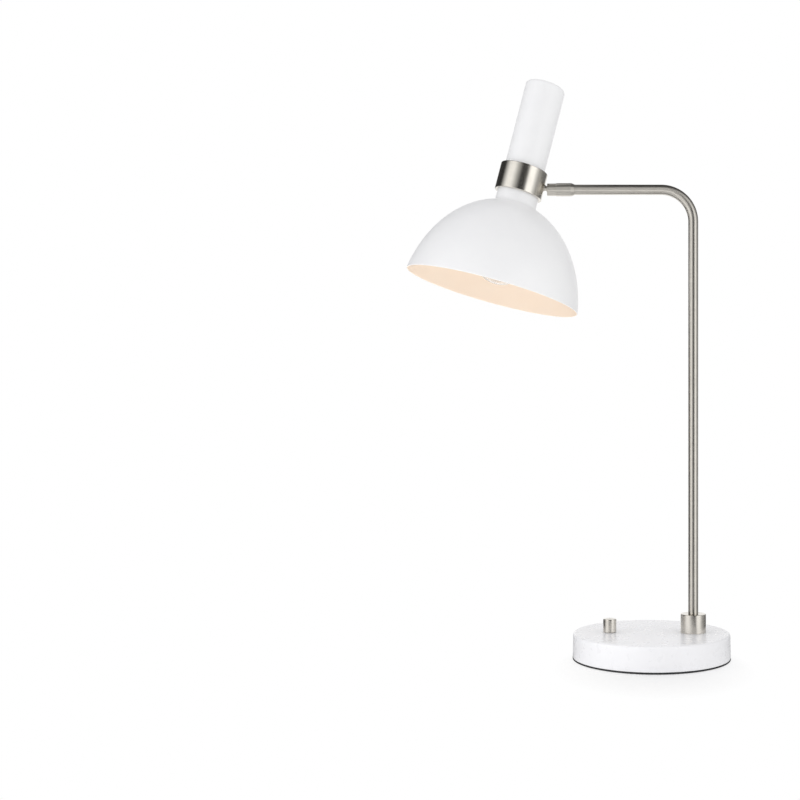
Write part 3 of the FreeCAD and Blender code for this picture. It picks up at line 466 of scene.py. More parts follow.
# ---- Dimmer ----
# A rotary dimmer in a black moulded case hangs under the cover from its threaded brass bush, held by a
# hexagon nut on top. Three brass lugs take the leads, and a steel shaft carries the knob.
refinished(moulded_plastic("dimmer_case", (0.022, 0.022, 0.024), (0.04, 0.04, 0.043), 0.5), "dimmer_body")
refinished(brass, "dimmer_lugs", "dimmer_bush")
refinished(zinc, "dimmer_nut", "dimmer_shaft", "knob_grub_screw")


# ---- Knob ----
# Turned from brass bar and nickel plated like the rest of the bright parts. The lathe leaves fine rings that
# draw the light out along the axis. It is hollow below to clear the nut, and a grub screw locks it.
def turned_nickel(name, centre, axis, colour=(0.80, 0.765, 0.70), roughness=0.24, drawn_out=0.7):
    """Nickel on a turned piece: tool rings run round the axis through the centre, and gloss follows them."""
    material, tree, shader, coords = finish_of(name, roughness, metallic=1.0)
    node = tree.nodes.new
    offset = node("ShaderNodeVectorMath")
    offset.operation = "SUBTRACT"
    offset.inputs[1].default_value = centre
    link(tree, coords, offset.inputs[0])
    around = node("ShaderNodeVectorMath")
    around.operation = "CROSS_PRODUCT"
    around.inputs[0].default_value = axis
    link(tree, offset.outputs[0], around.inputs[1])
    into_world = node("ShaderNodeVectorTransform")
    into_world.vector_type = "VECTOR"
    into_world.convert_from = "OBJECT"
    into_world.convert_to = "WORLD"
    link(tree, around.outputs[0], into_world.inputs[0])
    surface = node("ShaderNodeNewGeometry")
    across = node("ShaderNodeVectorMath")
    across.operation = "CROSS_PRODUCT"
    link(tree, surface.outputs["Normal"], across.inputs[0])
    link(tree, into_world.outputs[0], across.inputs[1])
    link(tree, across.outputs[0], shader.inputs["Tangent"])
    shader.inputs["Anisotropic"].default_value = drawn_out
    along = node("ShaderNodeVectorMath")
    along.operation = "DOT_PRODUCT"
    along.inputs[1].default_value = axis
    link(tree, offset.outputs[0], along.inputs[0])
    reach = node("ShaderNodeVectorMath")
    reach.operation = "LENGTH"
    link(tree, around.outputs[0], reach.inputs[0])
    rings = node("ShaderNodeCombineXYZ")
    link(tree, along.outputs["Value"], rings.inputs[0])
    link(tree, reach.outputs["Value"], rings.inputs[1])
    drift = node("ShaderNodeVectorMath")
    drift.operation = "MULTIPLY_ADD"
    drift.inputs[1].default_value = (0.02, 0.02, 0.02)
    link(tree, offset.outputs[0], drift.inputs[0])
    link(tree, rings.outputs[0], drift.inputs[2])
    ringed = drift.outputs[0]
    clouds = noise(tree, coords, 90, 3)
    tinted(tree, shader, ranged(tree, clouds, 0, 1), tuple(c * 0.95 for c in colour), colour)
    link(tree, ranged(tree, noise(tree, ringed, 1400, 2), roughness - 0.02, roughness + 0.03),
         shader.inputs["Roughness"])
    bumped(tree, shader, noise(tree, ringed, 1100, 1), 0.0000006, 0.5)
    return material


knob_radius = (knob_box[1].x - knob_box[0].x) / 2 / MM
knob_foot = knob_box[0].z / MM
knob_top = knob_box[1].z / MM
nut_room, shaft_hole = 5.5, 2.05
nut_room_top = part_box("dimmer_bush")[1].z / MM + 0.3
shaft_hole_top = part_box("dimmer_shaft")[1].z / MM + 0.05
knob_corners = [
    (0, knob_top, 0), (knob_radius, knob_top, 0.55), (knob_radius, knob_foot, 0.4),
    (nut_room, knob_foot, 0.15), (nut_room, nut_room_top, 0.1), (shaft_hole, nut_room_top, 0.1),
    (shaft_hole, shaft_hole_top, 0.1), (0, shaft_hole_top, 0)]
upright = Vector((0, 0, 1))
knob_nickel = turned_nickel("knob_nickel", knob_axis, upright)
knob = piece_of("knob", turned_mesh(outline_of(knob_corners), knob_nickel, 96, closed=False),
                Matrix.Translation(knob_axis))


def middle_of(name):
    low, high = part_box(name)
    return (low + high) / 2


def screw_hole(piece, x, height, rear, radius):
    """Bores a piece for its grub screw, from just behind its axis out to the rear; radius in millimetres."""
    place = Vector((x, 0, height))
    bored(piece, [(place + Vector((0, 0.001, 0)), place + Vector((0, rear, 0)), radius * MM)])


screw_hole(knob, knob_axis.x, middle_of("knob_grub_screw").z, rear=0.01, radius=1.55)
stands_for(knob, "dimmer_knob")


# ---- Ferrule at the pole's foot ----
# A heavy turned ring, nickel plated, screwed down the tube's thread onto the cover, and locked by a grub
# screw at the rear. Its two rims are just broken.
ferrule_radius = (pole_box[1].x - pole_box[0].x) / 2 / MM
ferrule_foot = pole_box[0].z / MM
ferrule_top = pole_box[1].z / MM
ferrule_corners = [(tube_hole, ferrule_foot, 0.1), (ferrule_radius, ferrule_foot, 0.5),
                   (ferrule_radius, ferrule_top, 0.6), (tube_hole, ferrule_top, 0.25)]
ferrule_nickel = turned_nickel("ferrule_nickel", pole, upright)
ferrule = piece_of("ferrule", turned_mesh(outline_of(ferrule_corners), ferrule_nickel, 160),
                   Matrix.Translation(pole))
screw_hole(ferrule, pole.x, middle_of("ferrule_grub_screw").z, rear=0.02, radius=2.05)
stands_for(ferrule, "pole_ferrule")
refinished(zinc, "ferrule_grub_screw", "pole_washer", "pole_nut")


# ---- Pole and arm ----
# One drawn steel tube of 10 mm: it rises from the base, is bent over once on a roller and runs on as the arm.
# Nickel plated and brushed round the tube, so light draws out along it.
def tube_tree():
    """Geometry Nodes tree that bends a polyline's corner and lays a tube wall along it."""
    tree = bpy.data.node_groups.new("bend_tube", "GeometryNodeTree")
    sockets = tree.interface
    sockets.new_socket("Geometry", in_out="OUTPUT", socket_type="NodeSocketGeometry")
    sockets.new_socket("Route", in_out="INPUT", socket_type="NodeSocketGeometry")
    for name in ("Bend radius", "Tube radius", "Step"):
        sockets.new_socket(name, in_out="INPUT", socket_type="NodeSocketFloat")
    sockets.new_socket("Sides", in_out="INPUT", socket_type="NodeSocketInt")
    sockets.new_socket("Finish", in_out="INPUT", socket_type="NodeSocketMaterial")
    node = tree.nodes.new
    given = node("NodeGroupInput")
    route = node("GeometryNodeMeshToCurve")
    link(tree, given.outputs["Route"], route.inputs["Mesh"])
    bend = node("GeometryNodeFilletCurve")
    bend.mode = "POLY"
    bend.inputs["Count"].default_value = 48
    link(tree, route.outputs[0], bend.inputs["Curve"])
    link(tree, given.outputs["Bend radius"], bend.inputs["Radius"])
    even = node("GeometryNodeResampleCurve")
    even.mode = "LENGTH"
    link(tree, bend.outputs[0], even.inputs["Curve"])
    link(tree, given.outputs["Step"], even.inputs["Length"])
    run = node("GeometryNodeSplineParameter")
    stored = node("GeometryNodeStoreNamedAttribute")
    stored.data_type = "FLOAT"
    stored.inputs["Name"].default_value = "run"
    link(tree, even.outputs[0], stored.inputs["Geometry"])
    link(tree, run.outputs["Length"], stored.inputs["Value"])
    heading = node("GeometryNodeInputTangent")
    headed = node("GeometryNodeStoreNamedAttribute")
    headed.data_type = "FLOAT_VECTOR"
    headed.inputs["Name"].default_value = "heading"
    link(tree, stored.outputs[0], headed.inputs["Geometry"])
    link(tree, heading.outputs[0], headed.inputs["Value"])
    section = node("GeometryNodeCurvePrimitiveCircle")
    link(tree, given.outputs["Sides"], section.inputs["Resolution"])
    link(tree, given.outputs["Tube radius"], section.inputs["Radius"])
    wall = node("GeometryNodeCurveToMesh")
    link(tree, headed.outputs[0], wall.inputs["Curve"])
    link(tree, section.outputs["Curve"], wall.inputs["Profile Curve"])
    real = node("GeometryNodeRealizeInstances")
    link(tree, wall.outputs[0], real.inputs[0])
    finish = node("GeometryNodeSetMaterial")
    link(tree, real.outputs[0], finish.inputs["Geometry"])
    link(tree, given.outputs["Finish"], finish.inputs["Material"])
    out = node("NodeGroupOutput")
    link(tree, finish.outputs[0], out.inputs[0])
    return tree


TUBE = tube_tree()


def tube_nickel():
    material, tree, shader, coords = finish_of("tube_nickel", 0.36, metallic=1.0)
    node = tree.nodes.new
    heading = node("ShaderNodeAttribute")
    heading.attribute_name = "heading"
    into_world = node("ShaderNodeVectorTransform")
    into_world.vector_type = "VECTOR"
    into_world.convert_from = "OBJECT"
    into_world.convert_to = "WORLD"
    link(tree, heading.outputs["Vector"], into_world.inputs[0])
    link(tree, into_world.outputs[0], shader.inputs["Tangent"])
    shader.inputs["Anisotropic"].default_value = 1.0
    run = node("ShaderNodeAttribute")
    run.attribute_name = "run"
    rings = node("ShaderNodeCombineXYZ")
    link(tree, run.outputs["Fac"], rings.inputs[0])
    drift = node("ShaderNodeVectorMath")
    drift.operation = "MULTIPLY_ADD"
    drift.inputs[1].default_value = (0.02, 0.02, 0.02)
    link(tree, coords, drift.inputs[0])
    link(tree, rings.outputs[0], drift.inputs[2])
    tinted(tree, shader, ranged(tree, noise(tree, coords, 90, 3), 0, 1),
           (0.76, 0.725, 0.665), (0.80, 0.765, 0.70))
    link(tree, ranged(tree, noise(tree, drift.outputs[0], 1400, 2), 0.34, 0.39), shader.inputs["Roughness"])
    bumped(tree, shader, noise(tree, drift.outputs[0], 1100, 1), 0.0000006, 0.5)
    return material


def laid_tube(points, bend, radius, step, sides, finish):
    mesh = bpy.data.meshes.new("route")
    mesh.from_pydata(points, [(k, k + 1) for k in range(len(points) - 1)], [])
    holder = bpy.data.objects.new("route", mesh)
    bpy.context.scene.collection.objects.link(holder)
    result = made_by_nodes(holder, TUBE, {"Bend radius": bend, "Tube radius": radius, "Step": step,
                                          "Sides": sides, "Finish": finish})
    bpy.data.objects.remove(holder)
    return result


def tube_wall(name, points, bend, radius, bore, step, finish, sides=64):
    """Open tube with a real wall: its outside and its bore, joined by a ring at each end."""
    work = bmesh.new()
    inside = laid_tube(points, bend, bore, step, sides, finish)
    work.from_mesh(inside)
    bmesh.ops.reverse_faces(work, faces=work.faces)
    work.from_mesh(laid_tube(points, bend, radius, step, sides, finish))
    open_edges = [edge for edge in work.edges if edge.is_boundary]
    for end in (Vector(points[0]), Vector(points[-1])):
        near = [edge for edge in open_edges if (edge.verts[0].co - end).length < 3 * radius]
        bmesh.ops.bridge_loops(work, edges=near)
    mesh = bpy.data.meshes.new(name)
    work.to_mesh(mesh)
    work.free()
    mesh.materials.append(finish)
    piece = piece_of(name, mesh)
    sharpened(piece)
    return piece


def sharpened(piece, limit=math.radians(40)):
    work = bmesh.new()
    work.from_mesh(piece.data)
    for edge in work.edges:
        edge.smooth = not (len(edge.link_faces) == 2 and edge.calc_face_angle(0) > limit)
    work.to_mesh(piece.data)
    work.free()


tube_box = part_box("arm_tube")
ball = Vector(next(joint["pos_m"] for joint in frame["joints"] if joint["name"] == "head_tilt"))
route = [(pole.x, 0, tube_box[0].z), (pole.x, 0, ball.z), (tube_box[0].x, 0, ball.z)]
bend_radius, tube_bore, ring_step = 0.032, 0.004, 0.0015
arm = tube_wall("arm", route, bend_radius, tube_box[1].z - ball.z, tube_bore, ring_step, tube_nickel())
stands_for(arm, "arm_tube")
refinished(brass, "arm_plug")


# ---- Swivel sleeve and nose ----
# Both are turned and nickel plated. The sleeve turns on the arm's end and tapers back to the tube; a grub
# screw in the plug's groove keeps it there. The nose screws into it and holds the ball.
on_arm = Matrix.Translation(ball) @ Matrix.Rotation(math.pi / 2, 4, "Y")
along_arm = Vector((1, 0, 0))
sleeve_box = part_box("swivel_sleeve")
sleeve_radius = (sleeve_box[1].z - ball.z) / MM
sleeve_start = (sleeve_box[0].x - ball.x) / MM
sleeve_end = (sleeve_box[1].x - ball.x) / MM
taper, thread_hole, thread_stop, end_wall = 2.8, 5.55, 9.05, 0.3
swivel_nickel = turned_nickel("swivel_nickel", ball, along_arm, roughness=0.35, drawn_out=1.0)
sleeve_corners = [
    (thread_hole, sleeve_start, 0.1), (sleeve_radius, sleeve_start, 0.3),
    (sleeve_radius, sleeve_end - taper, 0.6), (tube_hole + end_wall, sleeve_end, 0.15),
    (tube_hole, sleeve_end, 0.08), (tube_hole, thread_stop, 0.1), (thread_hole, thread_stop, 0.1)]
sleeve = piece_of("sleeve", turned_mesh(outline_of(sleeve_corners), swivel_nickel, 96), on_arm)
screw_hole(sleeve, middle_of("sleeve_grub_screw").x, ball.z, rear=0.01, radius=1.3)
stands_for(sleeve, "swivel_sleeve")

nose_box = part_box("swivel_nose")
nose_radius = (nose_box[1].z - ball.z) / MM
nose_front = (nose_box[0].x - ball.x) / MM
socket, lip_reach, mouth, mouth_rim, thread_radius, thread_end = 4.75, 2.2, 5.1, 0.4, 5.5, 9.0
nose_corners = [(thread_radius, thread_end, 0.1), (thread_radius, sleeve_start, 0.05),
                (nose_radius, sleeve_start, 0.2), (nose_radius, nose_front, 0.55),
                (mouth, nose_front, 0.2), (math.sqrt(socket ** 2 - lip_reach ** 2), -lip_reach, 0.05)]
for k in range(1, 9):
    turn = math.asin(lip_reach / socket) * (1 - k / 8)
    nose_corners.append((socket * math.cos(turn), -socket * math.sin(turn), 0))
nose_corners.append((socket, thread_end, 0.1))
nose = piece_of("nose", turned_mesh(outline_of(nose_corners), swivel_nickel, 96), on_arm)
sharpened(nose)
stands_for(nose, "swivel_nose")


# ---- Ball, stud and what presses on them ----
# Ball and stud are one steel turning, nickel plated, bored for the lead. A nylon cup and a stack of disc
# springs behind it press on the ball, so that the head stays where it is put.
spin = next(joint for joint in frame["joints"] if joint["name"] == "head_spin")
stud_axis = Vector(spin["axis"]).normalized()
refinished(turned_nickel("stud_nickel", ball, stud_axis, roughness=0.34), "ball_stud")
refinished(white_nylon, "ball_seat")
refinished(zinc, "sleeve_grub_screw", "disc_springs", "stud_nut")


# ---- Collar ----
# The head's main ring, turned from bar, brushed round on the lathe and nickel plated. A web inside carries
# the holder plate, the stud enters from the side, and both its rims are just broken.
collar_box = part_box("collar")
head_centre = (collar_box[0] + collar_box[1]) / 2
head_centre = ball + stud_axis * (head_centre - ball).dot(stud_axis)
head_axis = Vector((stud_axis.z, 0, -stud_axis.x))
in_head = Matrix.Translation(head_centre) @ Matrix.Rotation(math.asin(head_axis.x), 4, "Y")


def in_head_frame(node):
    """Largest radius, lowest and highest place of a CAD node in the head's own frame, in millimetres."""
    back = in_head.inverted()
    points = np.array([back @ v.co for v in frame["nodes"][node].data.vertices]) / MM
    radius = np.hypot(points[:, 0], points[:, 1]).max()
    return float(radius), float(points[:, 2].min()), float(points[:, 2].max())


collar_radius, collar_low, collar_high = in_head_frame("collar")
neck_hole, shade_hole, inner_hole, web_hole = 20.05, 20.9, 18.2, 13.2
shade_stop, web_low, web_top = -6.6, 4.45, 6.65
collar_corners = [
    (neck_hole, collar_high, 0.2), (collar_radius, collar_high, 0.45), (collar_radius, collar_low, 0.45),
    (shade_hole, collar_low, 0.2), (shade_hole, shade_stop, 0.1), (inner_hole, shade_stop, 0.1),
    (inner_hole, web_low, 0.1), (web_hole, web_low, 0.15), (web_hole, web_top, 0.15),
    (neck_hole, web_top, 0.1)]
collar_nickel = turned_nickel("collar_nickel", head_centre, head_axis)
collar = piece_of("collar_ring", turned_mesh(outline_of(collar_corners), collar_nickel, 192), in_head)
side = -stud_axis
past_wall, stud_seat, nut_start, nut_end = 0.03, 0.02368, 0.01, 0.0185
stud_hole, seat_hole, nut_hole, small_thread = 2.05, 3.25, 4.1, 1.55
holes = [(head_centre, head_centre + side * past_wall, stud_hole * MM),
         (head_centre + side * stud_seat, head_centre + side * past_wall, seat_hole * MM),
         (head_centre + side * nut_start, head_centre + side * nut_end, nut_hole * MM)]
neck_screw_height, neck_screw_start, neck_screw_turn = 0.01065, 0.015, 35
screw_line = head_centre + head_axis * neck_screw_height
for turn in (neck_screw_turn, -neck_screw_turn):
    outward = Matrix.Rotation(math.radians(turn), 3, head_axis) @ Vector((0, 1, 0))
    holes.append((screw_line + outward * neck_screw_start, screw_line + outward * past_wall,
                  small_thread * MM))
plate_screw_reach, under_web, over_web = 0.0152, 0.003, 0.008
for reach in (plate_screw_reach, -plate_screw_reach):
    middle = head_centre + Vector((0, reach, 0))
    holes.append((middle + head_axis * under_web, middle + head_axis * over_web, small_thread * MM))
bored(collar, holes)
stands_for(collar, "collar")
refinished(zinc, "neck_grub_screws", "holder_plate", "holder_screws", "nipple", "nipple_nut")


# ---- Neck tube ----
# A closed-topped tube, deep-drawn from sheet, that stands in the collar and hides the lampholder's plate. It
# is powder-coated like the shade, with an even round at its top.
neck_radius, neck_low, neck_high = in_head_frame("neck_tube")
neck_wall, neck_top_wall, neck_round = 1.2, 1.5, 2.5
neck_corners = [
    (0, neck_high, 0), (neck_radius, neck_high, neck_round), (neck_radius, neck_low, 0.3),
    (neck_radius - neck_wall, neck_low, 0.2),
    (neck_radius - neck_wall, neck_high - neck_top_wall, neck_round - neck_wall),
    (0, neck_high - neck_top_wall, 0)]
shade_white = powder_coat("shade_white", (0.895, 0.895, 0.895), (0.875, 0.875, 0.88), 0.40)
neck_mesh = turned_mesh(outline_of(neck_corners, steps=8), shade_white, 160, closed=False)
neck = piece_of("neck", neck_mesh, in_head)
stands_for(neck, "neck_tube")


# ---- Shade ----
# A dome spun from aluminium sheet over a former, part of an ellipse in section, drawn up into a short neck
# that sits in the collar. White powder coat outside, warm white inside; the rim is trimmed and smoothed.
warm_white = powder_coat("shade_inside", (0.93, 0.81, 0.685), (0.92, 0.79, 0.66), 0.5)
bulge, crown, drop, rim_rise, shade_wall, fillet = 89.1, 114.0, 135.6, 22.3, 1.0, 4.5
throat = 20.8


def dome_point(turn, out):
    """Radius and height on the dome's section, moved outwards; the turn is zero at the crown."""
    slope = math.hypot(crown * math.sin(turn), bulge * math.cos(turn))
    return (bulge * math.sin(turn) + out * crown * math.sin(turn) / slope,
            crown * math.cos(turn) - drop + out * bulge * math.cos(turn) / slope)


def dome_start():
    """Turn at which the throat's fillet meets the dome."""
    low, high = 0.0, math.pi / 2
    for _ in range(50):
        middle = (low + high) / 2
        if dome_point(middle, fillet)[0] < throat + fillet:
            low = middle
        else:
            high = middle
    return low


start, end = dome_start(), math.acos(rim_rise / crown)
fillet_r, fillet_z = dome_point(start, fillet)
meet_r, meet_z = dome_point(start, 0)
fillet_end = math.atan2(meet_z - fillet_z, meet_r - fillet_r) % math.tau


def shade_side(out):
    """Corners down one side of the wall, from the fillet's start to the rim."""
    side_points = []
    fillet_steps, dome_steps = 9, 72
    reach = fillet - out
    for k in range(fillet_steps):
        turn = math.pi + (fillet_end - math.pi) * k / fillet_steps
        side_points.append((fillet_r + reach * math.cos(turn), fillet_z + reach * math.sin(turn), 0))
    for k in range(dome_steps + 1):
        side_points.append((*dome_point(start + (end - start) * k / dome_steps, out), 0))
    return side_points


_, _, shade_top = in_head_frame("shade")
lip_hole = 16.75
outer_side, inner_side = shade_side(0), shade_side(-shade_wall)
rim_middle = (Vector(outer_side[-1][:2]) + Vector(inner_side[-1][:2])) / 2
rim_spoke = Vector(outer_side[-1][:2]) - rim_middle
rim_points = []
rim_steps = 8
for k in range(1, rim_steps):
    spoke = Matrix.Rotation(-math.pi * k / rim_steps, 2) @ rim_spoke
    rim_points.append((rim_middle.x + spoke.x, rim_middle.y + spoke.y, 0))
shade_corners = ([(throat, shade_top, 0.3)] + outer_side + rim_points + inner_side[::-1]
                 + [(throat - shade_wall, shade_top - shade_wall, 0.3),
                    (lip_hole, shade_top - shade_wall, 0.2), (lip_hole, shade_top, 0.2)])
dome_mesh = turned_mesh(outline_of(shade_corners), shade_white, 256)
dome_mesh.materials.append(warm_white)
for face in dome_mesh.polygons:
    radius = math.hypot(face.center.x, face.center.y) / MM
    height = face.center.z / MM
    within = math.hypot(radius / (bulge - shade_wall / 2), (height + drop) / (crown - shade_wall / 2)) < 1
    if within and height < shade_top - 0.5 and (radius < throat - 0.3 or height < fillet_z):
        face.material_index = 1
shade = piece_of("dome", dome_mesh, in_head)
stands_for(shade, "shade")


# ---- Lampholder and shade ring ----
# A moulded white holder, screwed to the plate by its nipple, with a long threaded skirt round a brass screw
# shell. The ring screws up the skirt and clamps the shade's lip against the flange.
refinished(white_nylon, "lampholder", "shade_ring")
refinished(brass, "screw_shell", "centre_contact")


# ---- Bulb ----
# A clear globe of blown glass on a drawn glass stem, sealed into a screw cap of nickelled brass. A black
# glass insulator carries the centre contact, and the filament hangs in one wide loop below the stem.
def clear_glass(name):
    material, tree, shader, coords = finish_of(name, 0.0)
    shader.inputs["Transmission Weight"].default_value = 1.0
    shader.inputs["IOR"].default_value = 1.46
    tinted(tree, shader, ranged(tree, noise(tree, coords, 25, 2), 0, 1),
           (0.975, 0.985, 0.985), (0.99, 0.995, 1.0))
    link(tree, ranged(tree, noise(tree, coords, 60, 2), 0.0, 0.03), shader.inputs["Roughness"])
    bumped(tree, shader, noise(tree, coords, 45, 1), 0.0001, 0.15)
    return material


refinished(clear_glass("blown_glass"), "bulb_glass", "bulb_stem")
refinished(rolled_brass("cap_metal", (0.60, 0.58, 0.54), (0.72, 0.70, 0.66), 0.25), "bulb_cap", "bulb_tip")
refinished(moulded_plastic("insulator_glass", (0.01, 0.01, 0.012), (0.02, 0.02, 0.025), 0.15),
           "bulb_insulator")
refinished(plated_steel("tungsten", (0.20, 0.20, 0.21), (0.32, 0.32, 0.33), 0.4), "bulb_filament")


# ---- Leads ----
# Two insulated wires in one white sleeve: from the block to the dimmer, to the earth tag, and up through the
# tube to the ball; a last short one goes from the stud into the lampholder.
refinished(moulded_plastic("lead_sleeve", (0.70, 0.70, 0.69), (0.78, 0.78, 0.77), 0.55),
           "pole_lead", "dimmer_lead", "earth_lead", "head_lead")


# ---- Floor ----
# A seamless sheet of matte white card. It keeps the lamp's shadow and runs out to plain white.
def white_card():
    material, tree, shader, coords = finish_of("white_card", 0.9)
    shader.inputs["Specular IOR Level"].default_value = 0.1
    tinted(tree, shader, ranged(tree, noise(tree, coords, 300, 4), 0, 1),
           (0.93, 0.93, 0.93), (0.95, 0.95, 0.95))
    node = tree.nodes.new
    path = node("ShaderNodeLightPath")
    seen = node("ShaderNodeMath")
    seen.operation = "MAXIMUM"
    link(tree, path.outputs["Is Camera Ray"], seen.inputs[0])
    link(tree, path.outputs["Is Transmission Ray"], seen.inputs[1])
    narrowed = node("ShaderNodeVectorMath")
    narrowed.operation = "MULTIPLY"
    narrowed.inputs[1].default_value = (1.35, 1, 1)
    link(tree, coords, narrowed.inputs[0])
    from_shadow = node("ShaderNodeVectorMath")
    from_shadow.operation = "DISTANCE"
    from_shadow.inputs[1].default_value = (0, -0.045, 0)
    link(tree, narrowed.outputs[0], from_shadow.inputs[0])
    share = node("ShaderNodeMath")
    share.operation = "MULTIPLY"
    link(tree, seen.outputs[0], share.inputs[0])
    link(tree, ranged(tree, from_shadow.outputs["Value"], 0.0, 1.0, 0.03, 0.13), share.inputs[1])
    glow = node("ShaderNodeEmission")
    plain = node("ShaderNodeMixShader")
    link(tree, share.outputs[0], plain.inputs[0])
    link(tree, shader.outputs[0], plain.inputs[1])
    link(tree, glow.outputs[0], plain.inputs[2])
    link(tree, plain.outputs[0], tree.nodes["Material Output"].inputs["Surface"])
    return material


floor_mesh = bpy.data.meshes.new("floor")
floor_size = 4.0
floor_drop = -0.0002
floor_corners = [(x * floor_size, y * floor_size, floor_drop)
                 for x, y in ((-1, -1), (1, -1), (1, 1), (-1, 1))]
floor_mesh.from_pydata(floor_corners, [], [(0, 1, 2, 3)])
floor_mesh.materials.append(white_card())
floor = bpy.data.objects.new("floor", floor_mesh)
bpy.context.scene.collection.objects.link(floor)
floor.visible_glossy = False


# ---- Studio surround ----
# Walls that only the bright metal sees: white screens at the sides and dark cloths between them and overhead,
# as they are hung round plated parts to give them their bands of light and dark.
def screens_and_cloths():
    material = bpy.data.materials.new("screens_and_cloths")
    material.use_nodes = True
    tree = material.node_tree
    tree.nodes.clear()
    node = tree.nodes.new
    coords = node("ShaderNodeTexCoord")
    parts = node("ShaderNodeSeparateXYZ")
    link(tree, coords.outputs["Object"], parts.inputs[0])
    flip = node("ShaderNodeMath")
    flip.operation = "MULTIPLY"
    flip.inputs[1].default_value = -1
    link(tree, parts.outputs["Y"], flip.inputs[0])
    azimuth = node("ShaderNodeMath")
    azimuth.operation = "ARCTAN2"
    link(tree, parts.outputs["X"], azimuth.inputs[0])
    link(tree, flip.outputs[0], azimuth.inputs[1])
    place = ranged(tree, azimuth.outputs[0], 0.0, 1.0, -math.pi, math.pi)
    bands = node("ShaderNodeValToRGB")
    ramp = bands.color_ramp
    white_behind = [(-180, 1.0), (-160, 1.0), (-150, 0.05)]
    left_screen = [(-95, 0.03), (-76, 0.75), (-66, 1.2), (-46, 1.25), (-38, 1.1), (-25, 0.6), (-12, 0.25)]
    cloth_ahead = [(-4, 0.03), (19, 0.05), (27, 0.3)]
    right_screen = [(31, 1.2), (36, 1.35), (58, 1.35), (66, 1.0), (76, 0.6), (86, 0.4)]
    cloth_right = [(110, 0.22), (150, 0.15), (160, 1.0)]
    stops = white_behind + left_screen + cloth_ahead + right_screen + cloth_right
    while len(ramp.elements) < len(stops):
        ramp.elements.new(0.5)
    for element, (degrees, value) in zip(ramp.elements, stops):
        element.position = (degrees + 180) / 360
        element.color = (value, value, value, 1)
    link(tree, place, bands.inputs[0])
    # The surround's ring on the table is also seen only in reflections. Within about 0.45 m of the lamp it
    # keeps the bands and is dimmer close in, which is painted shade in the reflected table round the lamp.
    # Further out it turns white by about 0.75 m.
    reach = node("ShaderNodeVectorMath")
    reach.operation = "LENGTH"
    link(tree, coords.outputs["Object"], reach.inputs[0])
    low = node("ShaderNodeMath")
    low.operation = "LESS_THAN"
    low.inputs[1].default_value = 0.001
    link(tree, parts.outputs["Z"], low.inputs[0])
    share = node("ShaderNodeMath")
    share.operation = "MULTIPLY"
    link(tree, ranged(tree, reach.outputs["Value"], 0.0, 0.9, 0.45, 0.75), share.inputs[0])
    link(tree, low.outputs[0], share.inputs[1])
    mix = node("ShaderNodeMix")
    mix.data_type = "RGBA"
    mix.inputs["B"].default_value = (1, 1, 1, 1)
    link(tree, share.outputs[0], mix.inputs["Factor"])
    link(tree, bands.outputs[0], mix.inputs["A"])
    strength = node("ShaderNodeMath")
    strength.operation = "MULTIPLY"
    link(tree, ranged(tree, parts.outputs["Z"], 1.0, 0.12, 1.0, 1.65), strength.inputs[0])
    link(tree, ranged(tree, reach.outputs["Value"], 0.65, 1.0, 0.2, 0.5), strength.inputs[1])
    glow = node("ShaderNodeEmission")
    link(tree, mix.outputs["Result"], glow.inputs["Color"])
    link(tree, strength.outputs[0], glow.inputs["Strength"])
    out = node("ShaderNodeOutputMaterial")
    link(tree, glow.outputs[0], out.inputs["Surface"])
    return material


surround_mesh = bpy.data.meshes.new("surround")
surround_radius, surround_height, panels = 1.2, 3.0, 144
rows = [(0.02, 0), (surround_radius, 0), (surround_radius, surround_height), (0.3, surround_height + 0.01)]
corners, faces = [], []
for radius, height in rows:
    for k in range(panels):
        turn = math.tau * k / panels
        corners.append((radius * math.cos(turn), radius * math.sin(turn), height))
for row in range(len(rows) - 1):
    for k in range(panels):
        following = (k + 1) % panels
        faces.append((row * panels + k, row * panels + following, (row + 1) * panels + following,
                      (row + 1) * panels + k))
faces.append(tuple(range((len(rows) - 1) * panels, len(rows) * panels)))
surround_mesh.from_pydata(corners, [], faces)
surround_mesh.materials.append(screens_and_cloths())
surround = bpy.data.objects.new("surround", surround_mesh)
bpy.context.scene.collection.objects.link(surround)
surround.visible_camera = False
surround.visible_diffuse = False
surround.visible_transmission = False
surround.visible_shadow = False
surround.visible_volume_scatter = False


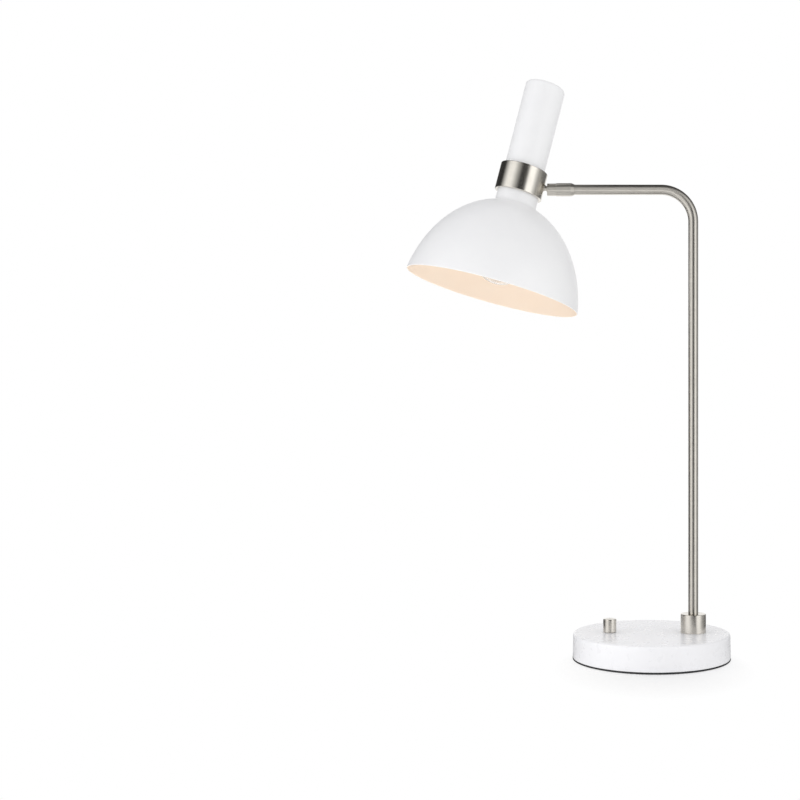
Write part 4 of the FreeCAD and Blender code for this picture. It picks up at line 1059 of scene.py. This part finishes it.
# ---- Light ----
# An even white room, a soft lamp at the left and one at the right. Two small ones near the table stand for
# the light that it throws back, onto the base and up into the shade.
world = bpy.data.worlds.new("white_room")
bpy.context.scene.world = world
world.use_nodes = True
tree = world.node_tree
tree.nodes.clear()
path = tree.nodes.new("ShaderNodeLightPath")
seen = tree.nodes.new("ShaderNodeMath")
seen.operation = "MAXIMUM"
link(tree, path.outputs["Is Camera Ray"], seen.inputs[0])
link(tree, path.outputs["Is Transmission Ray"], seen.inputs[1])
both = tree.nodes.new("ShaderNodeMath")
both.operation = "MAXIMUM"
link(tree, seen.outputs[0], both.inputs[0])
link(tree, path.outputs["Is Glossy Ray"], both.inputs[1])
room = tree.nodes.new("ShaderNodeBackground")
room.inputs["Color"].default_value = (0.99, 0.99, 1.0, 1)
room.inputs["Strength"].default_value = 0.86
backdrop = tree.nodes.new("ShaderNodeBackground")
backdrop.inputs["Color"].default_value = (1, 1, 1, 1)
mix = tree.nodes.new("ShaderNodeMixShader")
link(tree, both.outputs[0], mix.inputs[0])
link(tree, room.outputs[0], mix.inputs[1])
link(tree, backdrop.outputs[0], mix.inputs[2])
out = tree.nodes.new("ShaderNodeOutputWorld")
link(tree, mix.outputs[0], out.inputs["Surface"])


def soft_lamp(name, place, aim, size, power, colour, spread=180):
    data = bpy.data.lights.new(name, "AREA")
    data.shape = "SQUARE"
    data.size = size
    data.energy = power
    data.color = colour
    data.spread = math.radians(spread)
    lamp = bpy.data.objects.new(name, data)
    lamp.location = place
    lamp.rotation_euler = (Vector(aim) - Vector(place)).to_track_quat("-Z", "Y").to_euler()
    bpy.context.scene.collection.objects.link(lamp)
    lamp.visible_glossy = False
    lamp.visible_camera = False
    lamp.visible_transmission = False


soft_lamp("left_lamp", (-2.0, -0.8, 0.9), (-0.08, 0, 0.3), 1.4, 8, (0.96, 0.97, 1.0))
soft_lamp("right_lamp", (1.6, -1.2, 0.5), (-0.1, 0, 0.3), 1.4, 6, (1.0, 1.0, 0.985))
soft_lamp("table_bounce", (-0.20, -0.22, 0.03), (-0.15, 0.03, 0.42), 0.3, 0.3, (1.0, 1.0, 0.98))
soft_lamp("shade_uplight", (-0.21, 0, 0.06), (-0.16, 0, 0.42), 0.12, 0.06, (1.0, 0.98, 0.96), 60)


# ---- Camera ----
# Level, at the height of the pole's lower third, square to the plane of pole and arm.
camera_data = bpy.data.cameras.new("camera")
camera_data.lens = 45
camera_data.sensor_width = 36
camera_data.shift_x = -0.24375
camera_data.shift_y = 0.0746
camera = bpy.data.objects.new("camera", camera_data)
camera.location = (-0.0564, -1.0, 0.198)
camera.rotation_euler = (math.pi / 2, 0, 0)
bpy.context.scene.collection.objects.link(camera)
bpy.context.scene.camera = camera
bpy.context.scene.view_settings.view_transform = "Standard"
